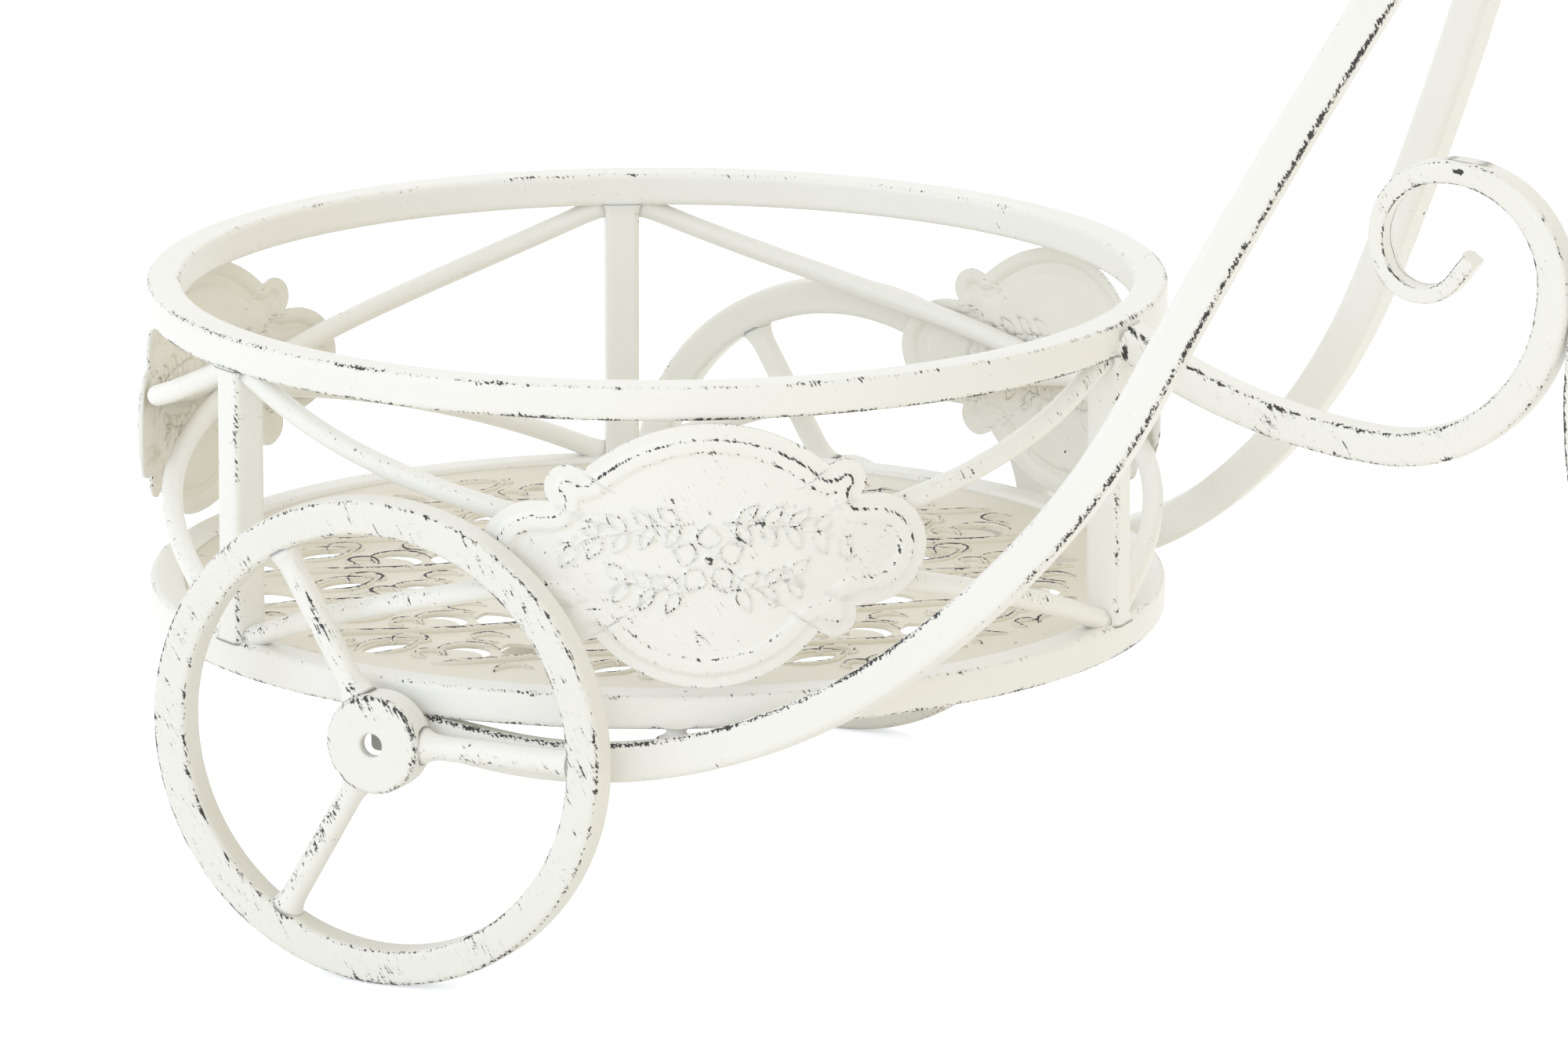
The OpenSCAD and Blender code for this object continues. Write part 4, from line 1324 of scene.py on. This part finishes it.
@dataclass
class Saddle:
    """Pressed-sheet saddle with a kicked-up tail and drooping sides, on a round post."""

    length: float = 92.0
    width: float = 62.0
    nose_w: float = 20.0
    thickness: float = 2.5
    seat: float = 0.36
    droop: float = 9.0
    kick: float = 7.0
    post_r: float = 5.0
    post_gap: float = 0.2

    def half(self, u: float) -> float:
        """Half width for a share of the length."""
        wide = self.width + (self.nose_w - self.width) * smooth((u - 0.18) / 0.5)
        return wide / 2 * math.sqrt(max(0.0, 1 - abs(2 * u - 1) ** 5))

    def face(self, u: float, v: float) -> float:
        """Height of the face for shares of the length and the half width."""
        return self.kick * (smooth((0.45 - u) / 0.45) + 0.3 * smooth((u - 0.7) / 0.3)) - self.droop * v * v

    def build(self) -> None:
        """Builds the saddle and its post."""
        low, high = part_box("saddle_post")
        r, height = self.post_r, (high.z - low.z) / MM
        base = Vector(((low.x + high.x) / 2 / MM, 0, low.z / MM))
        points = [(0, -0.6), (r + 1.4, -0.6), (r + 0.4, 1.2), (r, 3.0), (r, height - 3.0),
                  (r + 1.0, height + 0.3), (0, height + 0.3)]
        post = spun(points, Axis.Z, 48, [], lambda radius, z: 0.2, False)
        finish_piece(post, "saddle_post_tube", ROD_PAINT, ["saddle_post"], base)
        seat = self.face(self.seat, r / self.half(self.seat))
        top = base.z + height + self.post_gap + self.thickness - seat
        bm = empty_mesh()
        layer = layers(bm)[0]
        bmesh.ops.create_grid(bm, x_segments=36, y_segments=20, size=1.0)
        for v in bm.verts:
            u, across = 0.01 + 0.98 * (v.co.x + 1) / 2, v.co.y
            v[layer] = max(smooth(abs(across), 0.86, 1.0), smooth(abs(2 * u - 1), 0.93, 0.98))
            v.co = (base.x + (u - self.seat) * self.length, across * self.half(u), top + self.face(u, across))
        face_out(bm, 2)
        piece = finish_piece(bm, "saddle_sheet", SHEET_PAINT, ["saddle"])
        add_wall(piece, self.thickness)
        edge = piece.modifiers.new("edge", "BEVEL")
        edge.width, edge.segments, edge.limit_method = 0.8 * MM, 3, "ANGLE"


# Studio


@dataclass
class Studio:
    """Pale floor, soft lamps, world and camera.

    The camera was solved from the hoops, posts and wheel; its angles are in degrees and its place in
    metres. A lamp is (name, place in metres, power in watts).
    """

    position: tuple = (1.11138, -2.7844, 0.8536)
    yaw: float = 114.99440
    pitch: float = 13.75274
    roll: float = 0.09316
    focal_px: float = 14212.2
    picture_w: float = 2000.0
    sensor: float = 36.0
    lamps: tuple = (("front_lamp", (0.2, -3.5, 1.2), 17.0), ("left_lamp", (-2.2, -2.4, 1.3), 19.0),
                    ("back_lamp", (-0.8, 2.6, 2.2), 10.0))
    lamp_size: float = 2.4
    lamp_colour: str = "#B8D4FF"
    lamp_aim: tuple = (-0.1, 0, 0.15)
    floor_r: float = 9.0
    floor_z: float = -0.0002

    def build(self) -> None:
        """Builds the surroundings."""
        bpy.context.scene.view_settings.view_transform = "Standard"
        self.camera()
        self.world()
        self.floor()
        for name, place, power in self.lamps:
            data = bpy.data.lights.new(name, "AREA")
            data.shape, data.size, data.energy = "SQUARE", self.lamp_size, power
            data.color = linear(self.lamp_colour)[:3]
            lamp = self.linked(name, data)
            lamp.location = place
            lamp.rotation_euler = (Vector(self.lamp_aim) - Vector(place)).to_track_quat("-Z", "Y").to_euler()

    @staticmethod
    def linked(name: str, data: bpy.types.ID) -> bpy.types.Object:
        """A new object in the scene."""
        made = bpy.data.objects.new(name, data)
        bpy.context.scene.collection.objects.link(made)
        return made

    def camera(self) -> None:
        """The camera, which looks along its yaw and down by its pitch."""
        y, p, r = (math.radians(a) for a in (self.yaw, self.pitch, self.roll))
        ahead = Vector((math.cos(p) * math.cos(y), math.cos(p) * math.sin(y), -math.sin(p)))
        flat = Vector((math.sin(y), -math.cos(y), 0))
        right = flat * math.cos(r) + flat.cross(ahead) * math.sin(r)
        turned = Matrix((right, right.cross(ahead), -ahead)).transposed().to_4x4()
        data = bpy.data.cameras.new("camera")
        data.sensor_width = self.sensor
        data.lens = self.focal_px / self.picture_w * self.sensor
        data.clip_start, data.clip_end = 0.05, 60
        lens = self.linked("camera", data)
        lens.matrix_world = Matrix.Translation(self.position) @ turned
        bpy.context.scene.camera = lens

    @staticmethod
    def world() -> None:
        """White behind the object, softer as light on it."""
        world = bpy.data.worlds.new("studio")
        bpy.context.scene.world = world
        graph = Graph(world)
        light = graph.add("Background", {"Color": linear("#FFFBF1"), "Strength": 0.93})
        white = graph.add("Background", {"Color": (1, 1, 1, 1), "Strength": 1.0})
        mix = graph.add("MixShader", {0: graph.seen(), 1: light.outputs[0], 2: white.outputs[0]})
        graph.add("OutputWorld", {"Surface": mix.outputs[0]})

    def floor(self) -> None:
        """Floor of matt studio paper, which shows white and keeps the planter's shadow."""
        bm = bmesh.new()
        bmesh.ops.create_circle(bm, cap_ends=True, segments=96, radius=self.floor_r)
        mesh = bpy.data.meshes.new("floor")
        bm.to_mesh(mesh)
        bm.free()
        floor = self.linked("floor", mesh)
        floor.location = (0, 0, self.floor_z)
        made = bpy.data.materials.new("studio_paper")
        # The paper lights the planter warm, and looks cooler and brighter than that.
        graph = Graph(made)
        matt = graph.add("BsdfDiffuse", {"Color": linear("#FAF7EF")})
        cool = graph.add("BsdfDiffuse", {"Color": linear("#EAF1FF")})
        white = graph.add("Emission", {"Color": (1, 1, 1, 1), "Strength": 0.5})
        shown = graph.add("AddShader", {0: cool.outputs[0], 1: white.outputs[0]})
        mix = graph.add("MixShader", {0: graph.seen(), 1: matt.outputs[0], 2: shown.outputs[0]})
        graph.add("OutputMaterial", {"Surface": mix.outputs[0]})
        mesh.materials.append(made)


def main() -> None:
    """Builds the planter piece by piece, then its surroundings."""
    logging.basicConfig(level=logging.INFO, format="%(message)s")
    Basket().build()
    for name, azimuth in (("plaque_right", -59.0), ("plaque_left", 61.4), ("plaque_rear", 180.6)):
        Plaque(name, azimuth).build()
    for side in Side:
        RearWheel(side).build()
    Frame().build()
    FrontWheel().build()
    Steering().build()
    Saddle().build()
    Studio().build()


if __name__ == "__main__":
    main()
